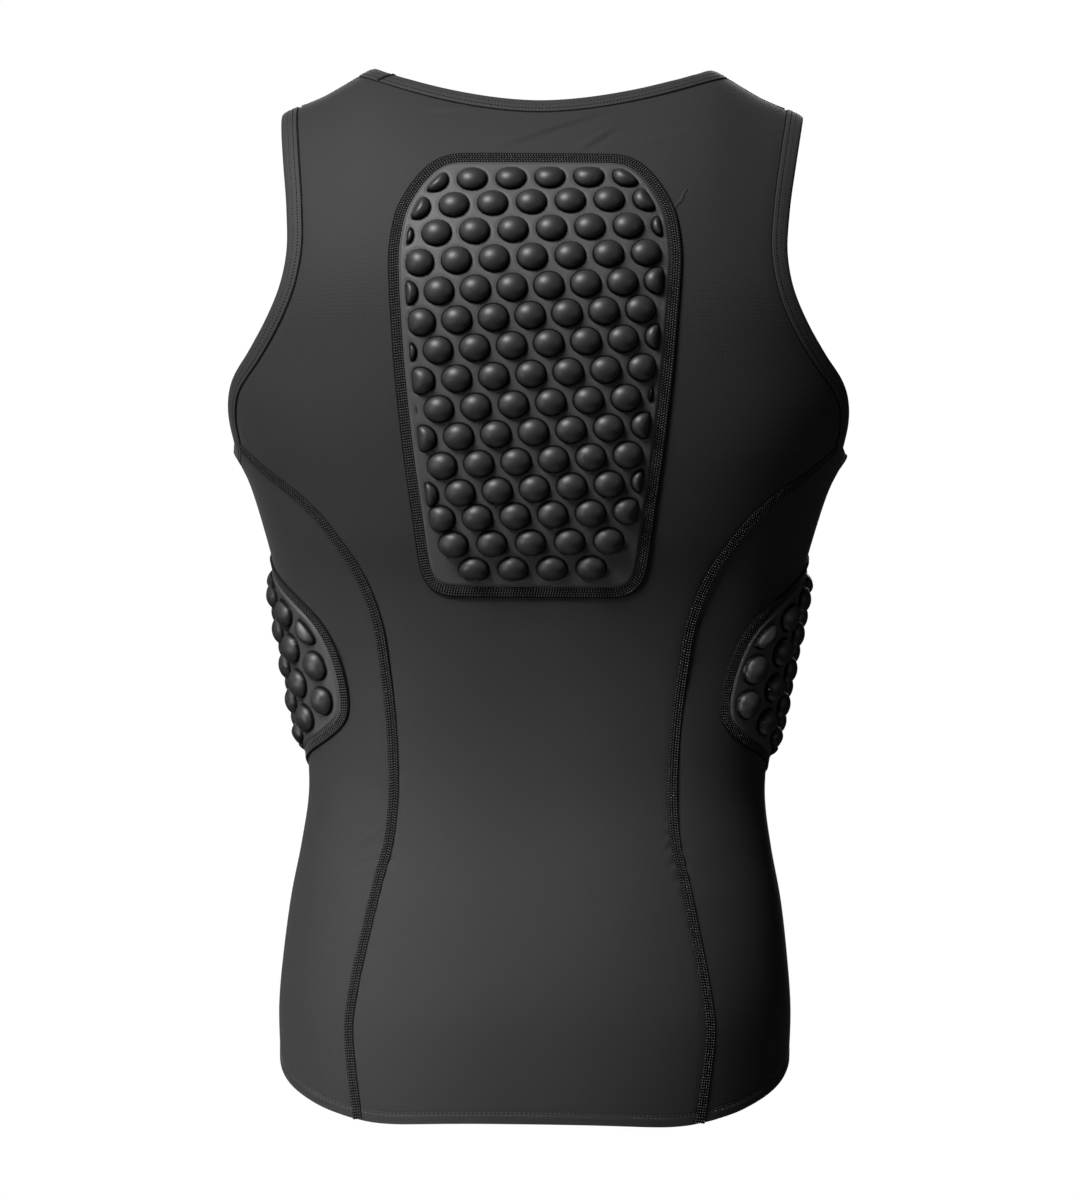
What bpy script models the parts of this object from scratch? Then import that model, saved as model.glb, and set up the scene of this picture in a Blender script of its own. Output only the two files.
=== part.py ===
"""A sleeveless padded compression shirt, hollow and filled out as when it is worn.

The wearer would face -Y, with +Z up and +X to the wearer's left. Sizes are in
millimetres, and heights are measured up from the level of the hem's lowest line.
The meshes are in metres, with the origin midway between the two shoulder seams.
"""

import functools
import math

import bmesh
import bpy
import numpy as np
from mathutils import Vector
from mathutils.geometry import delaunay_2d_cdt


def table(names, *rows):
    """A short table as one array for each named column."""
    return dict(zip(names.split(), np.array(rows, float).T))


# Driving dimensions
MM = 0.001
CLOTH = 1.6
SEAM_GAP = 0.36
SHOULDER_LEVEL = 670.0
UNDERARM = 440.0
UNDERARM_DIP = 10.0
SECTION_ROUNDNESS = 2.3
BACK_ROLL_START = 520.0
FRONT_ROLL_START = 460.0

# The shoulder line, which the back and the front both roll up to
NECK_CREST = 690.0
SHOULDER_TIP = 156.0
SHOULDER = table(
    "across height",
    (0, 690.0),
    (60, 690.0),
    (88, 689.6),
    (104, 687.8),
    (112, 685.6),
    (118.6, 682.5),
    (130, 675.8),
    (142, 669.0),
    (152, 664.6),
    (162, 660.4),
    (175, 648.0),
    (190, 629.0),
    (205, 606.0),
    (212, 594.0),
)

# The neck seam, from the point where it meets the shoulder seam
NECK_POINT = 118.6
NECK_POINT_HEIGHT = 682.5
BACK_NECK_HEIGHT = 655.0
BACK_NECK_CURVE = 1.8
FRONT_NECK_HEIGHT = 585.0
FRONT_NECK_CURVE = 2.6

# The filled-out body: a row for each level section
BODY = table(
    "height half_width back_depth front_depth",
    (0, 163.5, 110, 103),
    (45, 165.0, 113, 105),
    (80, 166.0, 112, 105),
    (115, 163.5, 105, 104),
    (150, 159.0, 95, 104),
    (185, 152.5, 84, 104),
    (220, 148.0, 77, 104),
    (255, 150.5, 75.5, 105),
    (290, 156.0, 78, 108),
    (325, 163.0, 84, 112),
    (355, 170.0, 92, 115),
    (385, 178.0, 103, 118),
    (415, 187.6, 111, 121),
    (440, 198.4, 115.5, 122),
    (465, 205.8, 118.5, 122),
    (500, 208.0, 121, 121),
    (540, 208.0, 121, 118),
    (600, 206.0, 117, 112),
    (690, 203.0, 107, 102),
)

# The long curved seam between the back and a side, and the same one in front
SIDE_SEAM = table(
    "height across",
    (0, 107.0),
    (14, 108.6),
    (45, 112.7),
    (72, 114.8),
    (101, 111.0),
    (133, 104.3),
    (164, 97.5),
    (186, 91.9),
    (206, 89.6),
    (250, 89.9),
    (298, 95.0),
    (332, 101.2),
    (364, 115.1),
    (380, 126.3),
    (397, 140.3),
    (411, 156.0),
    (425, 175.0),
    (440, 191.8),
)

# The armhole's cut edge above the underarm
ARMHOLE = table(
    "height back_across front_across",
    (440, 191.8, 191.8),
    (459, 195.0, 192.9),
    (476, 192.0, 186.5),
    (493, 179.6, 174.0),
    (514, 166.4, 160.0),
    (539, 155.4, 149.5),
    (563, 150.7, 144.0),
    (593, 151.6, 145.0),
    (625, 155.3, 151.0),
    (660, 160.0, 160.0),
)

# The hem's height, by how far back its edge lies: -1 at the middle of the front, 1 at that of the back
HEM = table(
    "share_back height",
    (-1.0, 55.0),
    (-0.65, 55.0),
    (-0.35, 53.8),
    (-0.15, 50.6),
    (0.0, 47.5),
    (0.15, 42.8),
    (0.36, 33.4),
    (0.56, 24.2),
    (0.71, 17.0),
    (0.89, 10.9),
    (1.0, 12.9),
)
HEM_GUESS = 40.0

# How the panels are divided
BACK_COLUMNS = 9
NECK_COLUMNS = 6
SIDE_COLUMNS = 16
LOWER_ROWS = 16
BACK_BLADE_ROWS = 4
FRONT_CHEST_ROWS = 1
BACK_ROLL_ROWS = 8
FRONT_ROLL_ROWS = 9

# Bindings: a row for each corner of the folded strip's section, out from the cut edge and up from the cloth
BINDING_SECTION = table(
    "out up",
    (0.6, -1.7),
    (0.6, 0.1),
    (4.0, 0.7),
    (9.0, 0.5),
    (10.3, -0.8),
    (9.0, -2.1),
    (4.0, -2.3),
)

# Pads: flat ground with a sewn border, and round domes on it in staggered rows
PAD_STANDOFF = 0.8
PAD_GROUND = 2.0
PAD_BORDER_WALL = 1.3
DOME_RADIUS = 9.3
DOME_HEIGHT = 5.6
DOME_SHOULDER = 0.64
DOME_SHOULDER_HEIGHT = 0.76
DOME_SIDES = 8
DOME_LEAST_SHARE = 0.12
OUTLINE_STEP = 11.0
INNER_STEP = 12.0

# The back pad's outline: its half width at each height
BACK_PAD = table(
    "height half_width",
    (345, 58.0),
    (348, 65.0),
    (355, 70.5),
    (367, 73.0),
    (391, 76.0),
    (415, 79.5),
    (441, 83.0),
    (492, 88.5),
    (540, 92.0),
    (563, 93.0),
    (589, 89.0),
    (608, 78.0),
    (619, 68.0),
    (625, 57.0),
)
BACK_PAD_BORDER = 8.0
BACK_DOME_PITCH = 22.7
BACK_DOME_ROW_STEP = 18.1
BACK_DOME_ROWS = 15
BACK_DOME_REACH = 5
BACK_DOME_TOP_MARGIN = 17.5
BACK_DOME_SPREAD = 0.07
BACK_DOME_SPREAD_ROWS = 5

# A rib pad's outline, by how far it lies behind the middle of the side
RIB_PAD = table(
    "behind_side top bottom",
    (-82, 338, 270),
    (-76, 358, 248),
    (-60, 373, 234),
    (-35, 378, 229),
    (0, 370, 236),
    (25, 358, 244),
    (45, 345, 251),
    (60, 331, 260),
    (66, 318, 266),
    (69, 300, 280),
)
RIB_PAD_BORDER = 6.5
RIB_DOME_PITCH = 22.9
RIB_DOME_COLUMN_STEP = 21.0
RIB_DOME_FIRST_COLUMN = 49.0
RIB_DOME_COLUMNS = 7
RIB_DOME_LEVEL = 300.0
RIB_DOME_REACH = 4

# How finely the form is read
RING_SAMPLES = 121
SETTLE_ROUNDS = 12
DOME_SAMPLES = 9
MERIDIAN_SAMPLES = 200
NORMAL_STEP = 0.05
SHARP_ANGLE = math.radians(50)

# Colours and roughness
KNIT_ROUGHNESS = 0.85
PAD_ROUGHNESS = 0.6
BINDING_ROUGHNESS = 0.8
KNIT_BLACK = (0.021, 0.021, 0.023, 1.0)
PAD_BLACK = (0.034, 0.034, 0.037, 1.0)
BINDING_BLACK = (0.028, 0.028, 0.030, 1.0)


# The form under the cloth

def smooth(columns, name, at, key="height"):
    """One column of a table at any place, on a smooth curve through its rows."""
    knots = columns[key]
    values = columns[name]
    slopes = np.gradient(values, knots)
    at = np.clip(at, knots[0], knots[-1])
    low = np.clip(np.searchsorted(knots, at, side="right") - 1, 0, len(knots) - 2)
    span = knots[low + 1] - knots[low]
    part = (at - knots[low]) / span
    rise = part * part * (3 - 2 * part)
    leave = part * (1 - part) ** 2 * span
    arrive = part * part * (1 - part) * span
    return (
        values[low] * (1 - rise)
        + values[low + 1] * rise
        + slopes[low] * leave
        - slopes[low + 1] * arrive
    )


def shoulder_line(across):
    """The height of the shoulder line above a place across the body."""
    return smooth(SHOULDER, "height", abs(across), key="across")


def roll(across, height, behind):
    """How far up the roll from the blades or the chest to the shoulder line, 0 to 1."""
    start = BACK_ROLL_START if behind else FRONT_ROLL_START
    return np.maximum(0, (height - start) / (shoulder_line(across) - start))


def depth_at(across, height, behind):
    """How far the cloth lies behind the shoulder seams, or in front of them."""
    half = smooth(BODY, "half_width", height)
    depth = smooth(BODY, "back_depth" if behind else "front_depth", height)
    section = np.maximum(0, 1 - (abs(across) / half) ** SECTION_ROUNDNESS)
    risen = np.maximum(0, 1 - roll(across, height, behind) ** 2)
    return depth * section ** (1 / SECTION_ROUNDNESS) * np.sqrt(risen)


def inside_by(x, y, z):
    """Above 0 inside the form, 0 on the cloth and below 0 outside it."""
    behind = y >= 0
    half = smooth(BODY, "half_width", z)
    depth = smooth(BODY, "back_depth" if behind else "front_depth", z)
    section = max(0, 1 - (abs(x) / half) ** SECTION_ROUNDNESS)
    return (1 - roll(x, z, behind) ** 2) * section ** (2 / SECTION_ROUNDNESS) - (y / depth) ** 2


def outward(point):
    """The direction straight out of the cloth at a point on it."""
    x, y, z = point
    step = NORMAL_STEP
    slope = np.array([
        inside_by(x - step, y, z) - inside_by(x + step, y, z),
        inside_by(x, y - step, z) - inside_by(x, y + step, z),
        inside_by(x, y, z - step) - inside_by(x, y, z + step),
    ])
    return slope / np.linalg.norm(slope)


@functools.lru_cache(maxsize=None)
def ring(height):
    """A level section from the middle of the back round +X: across, depth and length run."""
    turn = np.linspace(0, math.pi, 2 * RING_SAMPLES - 1)
    half = smooth(BODY, "half_width", height)
    across = half * np.abs(np.sin(turn)) ** (2 / SECTION_ROUNDNESS)
    across[RING_SAMPLES - 1] = half
    behind = depth_at(across[:RING_SAMPLES], height, True)
    before = -depth_at(across[RING_SAMPLES:], height, False)
    depth = np.concatenate([behind, before])
    steps = np.hypot(np.diff(across), np.diff(depth))
    return across, depth, np.concatenate([[0], np.cumsum(steps)])


def run_to(height, across, behind):
    """The length along a section from the middle of the back to a place on it."""
    sections, _, run = ring(height)
    if behind:
        return np.interp(across, sections[:RING_SAMPLES], run[:RING_SAMPLES])
    return np.interp(-across, -sections[RING_SAMPLES - 1:], run[RING_SAMPLES - 1:])


def side_run(height):
    """The length from the middle of the back to the middle of the side."""
    return ring(height)[2][RING_SAMPLES - 1]


def on_section(height, run):
    """The point at a signed length along a section."""
    across, depth, length = ring(height)
    x = np.interp(abs(run), length, across)
    y = np.interp(abs(run), length, depth)
    return np.array([math.copysign(x, run), y, height])


def edge_across(height, behind):
    """The half width of the back or the front: to the side seam, or to the armhole above it."""
    if height <= UNDERARM:
        return float(smooth(SIDE_SEAM, "across", height))
    return float(smooth(ARMHOLE, "back_across" if behind else "front_across", height))


def neck_height(across, behind):
    """The height of the neck seam."""
    lowest, curve = (
        (BACK_NECK_HEIGHT, BACK_NECK_CURVE) if behind else (FRONT_NECK_HEIGHT, FRONT_NECK_CURVE)
    )
    return lowest + (NECK_POINT_HEIGHT - lowest) * (abs(across) / NECK_POINT) ** curve


def hem_height(point):
    """The height of the hem at a point near it."""
    behind = point[1] >= 0
    depth = smooth(BODY, "back_depth" if behind else "front_depth", point[2])
    return float(smooth(HEM, "height", point[1] / depth, key="share_back"))


# Panels

def lower_row(part, share, top, place):
    """A point of a panel below the underarm, a share of the way up from the hem to its top."""
    hem = HEM_GUESS
    for _ in range(SETTLE_ROUNDS):
        hem = hem_height(place(part, hem))
    return place(part, hem + (top - hem) * share)


def body_place(part, height, behind):
    """The point at a share of the half width of the back or the front, -1 to 1."""
    edge = run_to(height, edge_across(height, behind), behind)
    if behind:
        return on_section(height, part * (edge - SEAM_GAP / 2))
    middle = ring(height)[2][-1]
    reach = middle - edge - SEAM_GAP / 2
    x, y, z = on_section(height, middle - abs(part) * reach)
    return np.array([math.copysign(x, part), y, z])


def top_share(column):
    """A column's place across the top edge: even steps round the neck, then along the shoulder."""
    neck_share = NECK_POINT / edge_across(NECK_POINT_HEIGHT, True)
    if abs(column) <= NECK_COLUMNS:
        return neck_share * math.sin(math.pi / 2 * column / NECK_COLUMNS)
    beyond = (abs(column) - NECK_COLUMNS) / (BACK_COLUMNS - NECK_COLUMNS)
    return math.copysign(neck_share + (1 - neck_share) * beyond, column)


def roll_column(column, rows, behind):
    """The points of one column from the blades or the chest up to the neck or the shoulder."""
    start = BACK_ROLL_START if behind else FRONT_ROLL_START
    foot = body_place(column / BACK_COLUMNS, start, behind)
    foot_share = foot[0] / edge_across(start, behind)
    share = top_share(column)
    across = share * SHOULDER_TIP
    height = NECK_POINT_HEIGHT
    on_neck = abs(column) < NECK_COLUMNS
    for _ in range(SETTLE_ROUNDS):
        height = neck_height(across, behind) if on_neck else shoulder_line(across)
        across = share * edge_across(height, behind)
    risen = min(1, (height - start) / (shoulder_line(across) - start))
    top_turn = math.asin(risen)
    points = []
    for row in range(1, rows + 1):
        up = row / rows
        part = foot_share + (share - foot_share) * up
        x = part * edge_across(height, behind)
        for _ in range(SETTLE_ROUNDS):
            z = start + (shoulder_line(x) - start) * math.sin(top_turn * up)
            x = part * edge_across(z, behind)
        depth = max(float(depth_at(x, z, behind)), SEAM_GAP / 2)
        points.append(np.array([x, depth if behind else -depth, z]))
    return points


def body_panel(behind):
    """The back's or the front's outer points, a list of rows from the hem to the top edge."""
    middle_rows, roll_rows, start = (
        (BACK_BLADE_ROWS, BACK_ROLL_ROWS, BACK_ROLL_START)
        if behind
        else (FRONT_CHEST_ROWS, FRONT_ROLL_ROWS, FRONT_ROLL_START)
    )
    columns = range(-BACK_COLUMNS, BACK_COLUMNS + 1)

    def place(part, height):
        return body_place(part, height, behind)

    rows = [
        [lower_row(c / BACK_COLUMNS, r / LOWER_ROWS, UNDERARM, place) for c in columns]
        for r in range(LOWER_ROWS + 1)
    ]
    for row in range(1, middle_rows + 1):
        height = UNDERARM + (start - UNDERARM) * row / middle_rows
        rows.append([place(c / BACK_COLUMNS, height) for c in columns])
    upper = [roll_column(c, roll_rows, behind) for c in columns]
    rows.extend([list(row) for row in zip(*upper)])
    return np.array(rows)


def side_seam(height, behind):
    """How far ahead of the middle of the side the back or the front seam lies, along the cloth."""
    gap = SEAM_GAP / 2 if behind else -SEAM_GAP / 2
    return run_to(height, edge_across(height, behind), behind) + gap - side_run(height)


def side_panel(side):
    """A side's outer points, rows from the hem to the underarm, columns from back to front.

    Each point is blended from the two seams, the hem and the curve under the arm, as
    (how far ahead of the middle of the side, height).
    """

    def foot(part):
        hem = HEM_GUESS
        for _ in range(SETTLE_ROUNDS):
            ahead = side_seam(hem, True) * (1 - part) + side_seam(hem, False) * part
            hem = hem_height(on_section(hem, side_run(hem) + ahead))
        return np.array([ahead, hem])

    def under_arm(part):
        ahead = side_seam(UNDERARM, True) * (1 - part) + side_seam(UNDERARM, False) * part
        return np.array([ahead, UNDERARM - UNDERARM_DIP * math.sqrt(1 - (2 * part - 1) ** 2)])

    def seam(share, behind):
        low = foot(0 if behind else 1)[1]
        height = low + (UNDERARM - low) * share
        return np.array([side_seam(height, behind), height])

    parts = [column / SIDE_COLUMNS for column in range(SIDE_COLUMNS + 1)]
    feet = [foot(part) for part in parts]
    tops = [under_arm(part) for part in parts]
    rows = []
    for row in range(LOWER_ROWS + 1):
        share = row / LOWER_ROWS
        back, front = seam(share, True), seam(share, False)
        points = []
        for part, low, high in zip(parts, feet, tops):
            across = back * (1 - part) + front * part
            up = low * (1 - share) + high * share
            corners = (feet[0] * (1 - part) + feet[-1] * part) * (1 - share)
            corners += (tops[0] * (1 - part) + tops[-1] * part) * share
            ahead, height = across + up - corners
            points.append(on_section(float(height), side_run(float(height)) + ahead))
        rows.append(points)
    return np.array(rows) * (side, 1, 1)


# Meshes

def add_object(name, points, faces, material):
    """A closed mesh from points in millimetres, as an object of its own."""
    mesh = bpy.data.meshes.new(name)
    placed = (np.asarray(points) - (0, 0, SHOULDER_LEVEL)) * MM
    mesh.from_pydata([tuple(p) for p in placed], [], faces)
    shape = bmesh.new()
    shape.from_mesh(mesh)
    bmesh.ops.recalc_face_normals(shape, faces=shape.faces[:])
    shape.to_mesh(mesh)
    shape.free()
    mesh.shade_smooth()
    mesh.set_sharp_from_angle(angle=SHARP_ANGLE)
    mesh.materials.append(material)
    made = bpy.data.objects.new(name, mesh)
    bpy.context.scene.collection.objects.link(made)
    return made


def add_wall(name, outer, material):
    """A cloth wall from a grid of outer points, its inner face one cloth thickness in."""
    rows, columns = outer.shape[:2]
    flat = outer.reshape(-1, 3)
    inner = np.array([p - CLOTH * outward(p) for p in flat])
    count = rows * columns
    faces = []
    for r in range(rows - 1):
        for c in range(columns - 1):
            a = r * columns + c
            b = a + 1
            faces.append((a, b, b + columns, a + columns))
            faces.append((a + count, a + columns + count, b + columns + count, b + count))
    edge = (
        list(range(columns))
        + [r * columns + columns - 1 for r in range(1, rows)]
        + [(rows - 1) * columns + c for c in range(columns - 2, -1, -1)]
        + [r * columns for r in range(rows - 2, 0, -1)]
    )
    for a, b in zip(edge, edge[1:] + edge[:1]):
        faces.append((b, a, a + count, b + count))
    return add_object(name, np.concatenate([flat, inner]), faces, material)


def add_binding(name, path, material):
    """A folded strip round an opening, along the cut edges that it covers."""
    path = np.array(path)
    count = len(path)
    middle = path.mean(axis=0)
    points = []
    for i, point in enumerate(path):
        along = path[(i + 1) % count] - path[i - 1]
        up = outward(point)
        out = np.cross(along, up)
        out /= np.linalg.norm(out)
        if np.dot(out, middle - point) < 0:
            out = -out
        for reach, lift in zip(BINDING_SECTION["out"], BINDING_SECTION["up"]):
            points.append(point + out * reach + up * lift)
    corners = len(BINDING_SECTION["out"])
    faces = []
    for i in range(count):
        for c in range(corners):
            a = i * corners + c
            b = i * corners + (c + 1) % corners
            ahead = ((i + 1) % count - i) * corners
            faces.append((a, b, b + ahead, a + ahead))
    return add_object(name, points, faces, material)


# Pads

def even_steps(loop, step):
    """A closed outline walked in even steps, as points in flat millimetres."""
    loop = np.array(loop)
    closed = np.concatenate([loop, loop[:1]])
    run = np.concatenate([[0], np.cumsum(np.hypot(*np.diff(closed, axis=0).T))])
    places = np.linspace(0, run[-1], max(3, round(run[-1] / step)), endpoint=False)
    return np.stack([np.interp(places, run, closed[:, i]) for i in (0, 1)], axis=1)


def drawn_in(loop, width):
    """An anticlockwise outline moved inwards by a width."""
    along = np.roll(loop, -1, axis=0) - np.roll(loop, 1, axis=0)
    inwards = np.stack([-along[:, 1], along[:, 0]], axis=1)
    return loop + width * inwards / np.linalg.norm(inwards, axis=1)[:, None]


def holds(loop, point):
    """Whether an outline goes round a point."""
    ahead = np.roll(loop, -1, axis=0)
    crosses = (loop[:, 1] > point[1]) != (ahead[:, 1] > point[1])
    rise = np.where(crosses, ahead[:, 1] - loop[:, 1], 1)
    at = loop[:, 0] + (point[1] - loop[:, 1]) / rise * (ahead[:, 0] - loop[:, 0])
    return np.count_nonzero(crosses & (at > point[0])) % 2 == 1


def dome(centre, field):
    """Flat points and heights of one dome, cut off where it meets the border."""
    across = np.linspace(-DOME_RADIUS, DOME_RADIUS, DOME_SAMPLES)
    whole = [centre + (u, v) for u in across for v in across if math.hypot(u, v) < DOME_RADIUS]
    kept = [point for point in whole if holds(field, point)]
    share = len(kept) / len(whole)
    if share < DOME_LEAST_SHARE:
        return []
    top = np.mean(kept, axis=0)
    height = DOME_HEIGHT * min(1, share ** 0.5)
    points = [(top, height)]
    for i in range(DOME_SIDES):
        turn = 2 * math.pi * (i + 0.5) / DOME_SIDES
        ray = np.array([math.cos(turn), math.sin(turn)])
        short, far = 0.0, 2 * DOME_RADIUS
        for _ in range(SETTLE_ROUNDS):
            reach = (short + far) / 2
            tried = top + ray * reach
            if np.hypot(*(tried - centre)) < DOME_RADIUS and holds(field, tried):
                short = reach
            else:
                far = reach
        points.append((top + ray * short, 0.0))
        points.append((top + ray * short * DOME_SHOULDER, height * DOME_SHOULDER_HEIGHT))
    return points


def triangles(points, rim_count):
    """The triangles between flat points, the first of which are the outline."""
    rim = [(i, (i + 1) % rim_count) for i in range(rim_count)]
    flat = [Vector((float(u), float(v))) for u, v in points]
    found = delaunay_2d_cdt(flat, rim, [], 1, 1e-6)
    return [[found[3][corner][0] for corner in face] for face in found[2]]


def add_pad(name, outline, border, centres, place, material):
    """A pad with domes over a plain inside. place gives the cloth's point for a flat one."""
    rim = even_steps(outline, OUTLINE_STEP)
    field = drawn_in(rim, border)
    outer = [(p, PAD_BORDER_WALL) for p in rim]
    outer += [(p, PAD_GROUND) for p in field]
    for centre in centres:
        outer += [(p, PAD_GROUND + rise) for p, rise in dome(np.array(centre), field)]
    inner = list(rim)
    low, high = rim.min(axis=0), rim.max(axis=0)
    safe = drawn_in(rim, INNER_STEP / 2)
    for u in np.arange(low[0], high[0], INNER_STEP):
        for v in np.arange(low[1], high[1], INNER_STEP):
            if holds(safe, (u, v)):
                inner.append(np.array([u, v]))
    points = []
    for flat, lift in outer + [(p, 0.0) for p in inner]:
        point = place(*flat)
        points.append(point + outward(point) * (PAD_STANDOFF + lift))
    first = len(outer)
    faces = triangles([p for p, _ in outer], len(rim))
    faces += [[first + corner for corner in face[::-1]] for face in triangles(inner, len(rim))]
    for i in range(len(rim)):
        j = (i + 1) % len(rim)
        faces.append([j, i, first + i, first + j])
    return add_object(name, points, faces, material)


def back_pad(material):
    """The large pad on the upper back, laid out along the middle of the back."""
    heights = np.linspace(BACK_PAD["height"][0], BACK_PAD["height"][-1], MERIDIAN_SAMPLES)
    depths = depth_at(0.0, heights, True)
    run = np.concatenate([[0], np.cumsum(np.hypot(np.diff(heights), np.diff(depths)))])

    def place(u, v):
        return on_section(float(np.interp(v, run, heights)), u)

    right = [
        (half, np.interp(height, heights, run))
        for height, half in zip(BACK_PAD["height"], BACK_PAD["half_width"])
    ]
    outline = right + [(-u, v) for u, v in right[::-1]]
    centres = []
    for row in range(BACK_DOME_ROWS):
        v = run[-1] - BACK_DOME_TOP_MARGIN - row * BACK_DOME_ROW_STEP
        spread = 1 + BACK_DOME_SPREAD * max(0, 1 - row / BACK_DOME_SPREAD_ROWS)
        shift = 0.5 if row % 2 == 0 else 0.0
        for column in range(-BACK_DOME_REACH, BACK_DOME_REACH + 1):
            centres.append(((column + shift) * BACK_DOME_PITCH * spread, v))
    return add_pad("back_pad", outline, BACK_PAD_BORDER, centres, place, material)


def rib_pad(name, side, material):
    """A pad round the ribs, laid out from the middle of the side."""

    def place(u, height):
        return on_section(height, side_run(height) + u) * (side, 1, 1)

    ahead = -RIB_PAD["behind_side"]
    outline = list(zip(ahead[::-1], RIB_PAD["bottom"][::-1]))
    outline += list(zip(ahead, RIB_PAD["top"]))
    centres = []
    for column in range(RIB_DOME_COLUMNS):
        u = -RIB_DOME_FIRST_COLUMN + column * RIB_DOME_COLUMN_STEP
        shift = 0.5 if column % 2 else 0.0
        for row in range(-RIB_DOME_REACH, RIB_DOME_REACH + 1):
            centres.append((u, RIB_DOME_LEVEL + (row + shift) * RIB_DOME_PITCH))
    return add_pad(name, outline, RIB_PAD_BORDER, centres, place, material)


# The shirt

def make_material(name, colour, roughness):
    """A plain cloth finish."""
    made = bpy.data.materials.new(name)
    made.use_nodes = True
    shader = made.node_tree.nodes["Principled BSDF"]
    shader.inputs["Base Color"].default_value = colour
    shader.inputs["Roughness"].default_value = roughness
    shader.inputs["Metallic"].default_value = 0.0
    return made


def armhole_path(back, front, side_points, side):
    """The cut edges round an armhole: up the back, down the front and under the arm."""
    column = -1 if side > 0 else 0
    back_corner = [(back[LOWER_ROWS, column] + side_points[-1, 0]) / 2]
    up = list(back[LOWER_ROWS + 1:-1, column])
    tip = [(back[-1, column] + front[-1, column]) / 2]
    down = list(front[LOWER_ROWS + 1:-1, column][::-1])
    front_corner = [(front[LOWER_ROWS, column] + side_points[-1, -1]) / 2]
    under = list(side_points[-1, 1:-1][::-1])
    return back_corner + up + tip + down + front_corner + under


def neck_path(back, front):
    """The cut edges round the neck."""
    low = BACK_COLUMNS - NECK_COLUMNS
    high = BACK_COLUMNS + NECK_COLUMNS
    right = [(back[-1, low] + front[-1, low]) / 2]
    left = [(back[-1, high] + front[-1, high]) / 2]
    return right + list(back[-1, low + 1:high]) + left + list(front[-1, low + 1:high][::-1])


def build():
    """Every piece of the shirt."""
    for old in list(bpy.data.objects):
        bpy.data.objects.remove(old)
    knit = make_material("black_knit", KNIT_BLACK, KNIT_ROUGHNESS)
    padded = make_material("black_pad_cover", PAD_BLACK, PAD_ROUGHNESS)
    bound = make_material("black_binding", BINDING_BLACK, BINDING_ROUGHNESS)
    back = body_panel(True)
    front = body_panel(False)
    add_wall("back_panel", back, knit)
    add_wall("front_panel", front, knit)
    for word, side in (("left", 1), ("right", -1)):
        cloth = side_panel(side)
        add_wall(f"side_panel_{word}", cloth, knit)
        path = armhole_path(back, front, cloth, side)
        add_binding(f"armhole_binding_{word}", path, bound)
        rib_pad(f"rib_pad_{word}", side, padded)
    add_binding("neck_binding", neck_path(back, front), bound)
    back_pad(padded)


build()
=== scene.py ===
"""Dresses the padded compression shirt: its cloth, pads, bindings, seams, stitches and stage.

The tables are in millimetres, with heights from the level of the hem's lowest line.
The meshes are in metres, with the origin midway between the two shoulder seams.
"""

import functools
import math

import bmesh
import bpy
import numpy as np
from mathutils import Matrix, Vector


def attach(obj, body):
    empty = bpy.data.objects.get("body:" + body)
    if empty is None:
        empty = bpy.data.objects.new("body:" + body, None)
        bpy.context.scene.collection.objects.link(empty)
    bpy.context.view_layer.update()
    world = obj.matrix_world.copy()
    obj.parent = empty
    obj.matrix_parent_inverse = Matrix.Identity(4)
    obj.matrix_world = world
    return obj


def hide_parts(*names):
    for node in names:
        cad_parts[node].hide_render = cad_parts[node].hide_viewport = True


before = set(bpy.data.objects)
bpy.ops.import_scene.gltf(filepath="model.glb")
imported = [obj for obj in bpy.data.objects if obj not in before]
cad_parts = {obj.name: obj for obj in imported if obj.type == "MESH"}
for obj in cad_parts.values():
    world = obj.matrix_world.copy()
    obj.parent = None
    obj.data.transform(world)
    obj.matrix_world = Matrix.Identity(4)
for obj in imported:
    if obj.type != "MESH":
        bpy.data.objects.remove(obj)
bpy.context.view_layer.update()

bl_info = {
    "name": "Padded Compression Shirt",
    "version": (1, 0, 0),
    "blender": (4, 5, 0),
    "location": "3D View > Sidebar > Shirt",
    "description": "Cloth, moulded pads, bindings and stitched seams of a sleeveless padded shirt",
    "category": "Add Mesh",
}


def table(names, *rows):
    """A short table as one array for each named column."""
    return dict(zip(names.split(), np.array(rows, float).T))


def rows_of(columns):
    """A table's rows, each as a dict."""
    return [dict(zip(columns, values)) for values in zip(*columns.values())]


# The form, as in the solids
MM = 0.001
SIDES = (("left", 1), ("right", -1))
CORNERS = ((-1, -1), (1, -1), (1, 1), (-1, 1))
CLOTH = 1.5
SEAM_GAP = 0.36
SHOULDER_LEVEL = 670.0
UNDERARM = 440.0
UNDERARM_DIP = 10.0
SECTION_ROUNDNESS = 2.3
BACK_ROLL_START = 520.0
FRONT_ROLL_START = 460.0
NECK_CREST = 690.0
SHOULDER_TIP = 156.0
# The shoulder line from the middle out, level over the neck
SHOULDER = table(
    "across height",
    (0, 690.0),
    (60, 690.0),
    (88, 689.6),
    (104, 687.8),
    (112, 685.6),
    (118.6, 682.5),
    (130, 675.8),
    (142, 669.0),
    (152, 664.6),
    (162, 660.4),
    (175, 648.0),
    (190, 629.0),
    (205, 606.0),
    (212, 594.0),
)
NECK_POINT = 118.6
NECK_POINT_HEIGHT = 682.5
BACK_NECK_HEIGHT = 655.0
BACK_NECK_CURVE = 1.8
FRONT_NECK_HEIGHT = 585.0
FRONT_NECK_CURVE = 2.6

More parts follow.
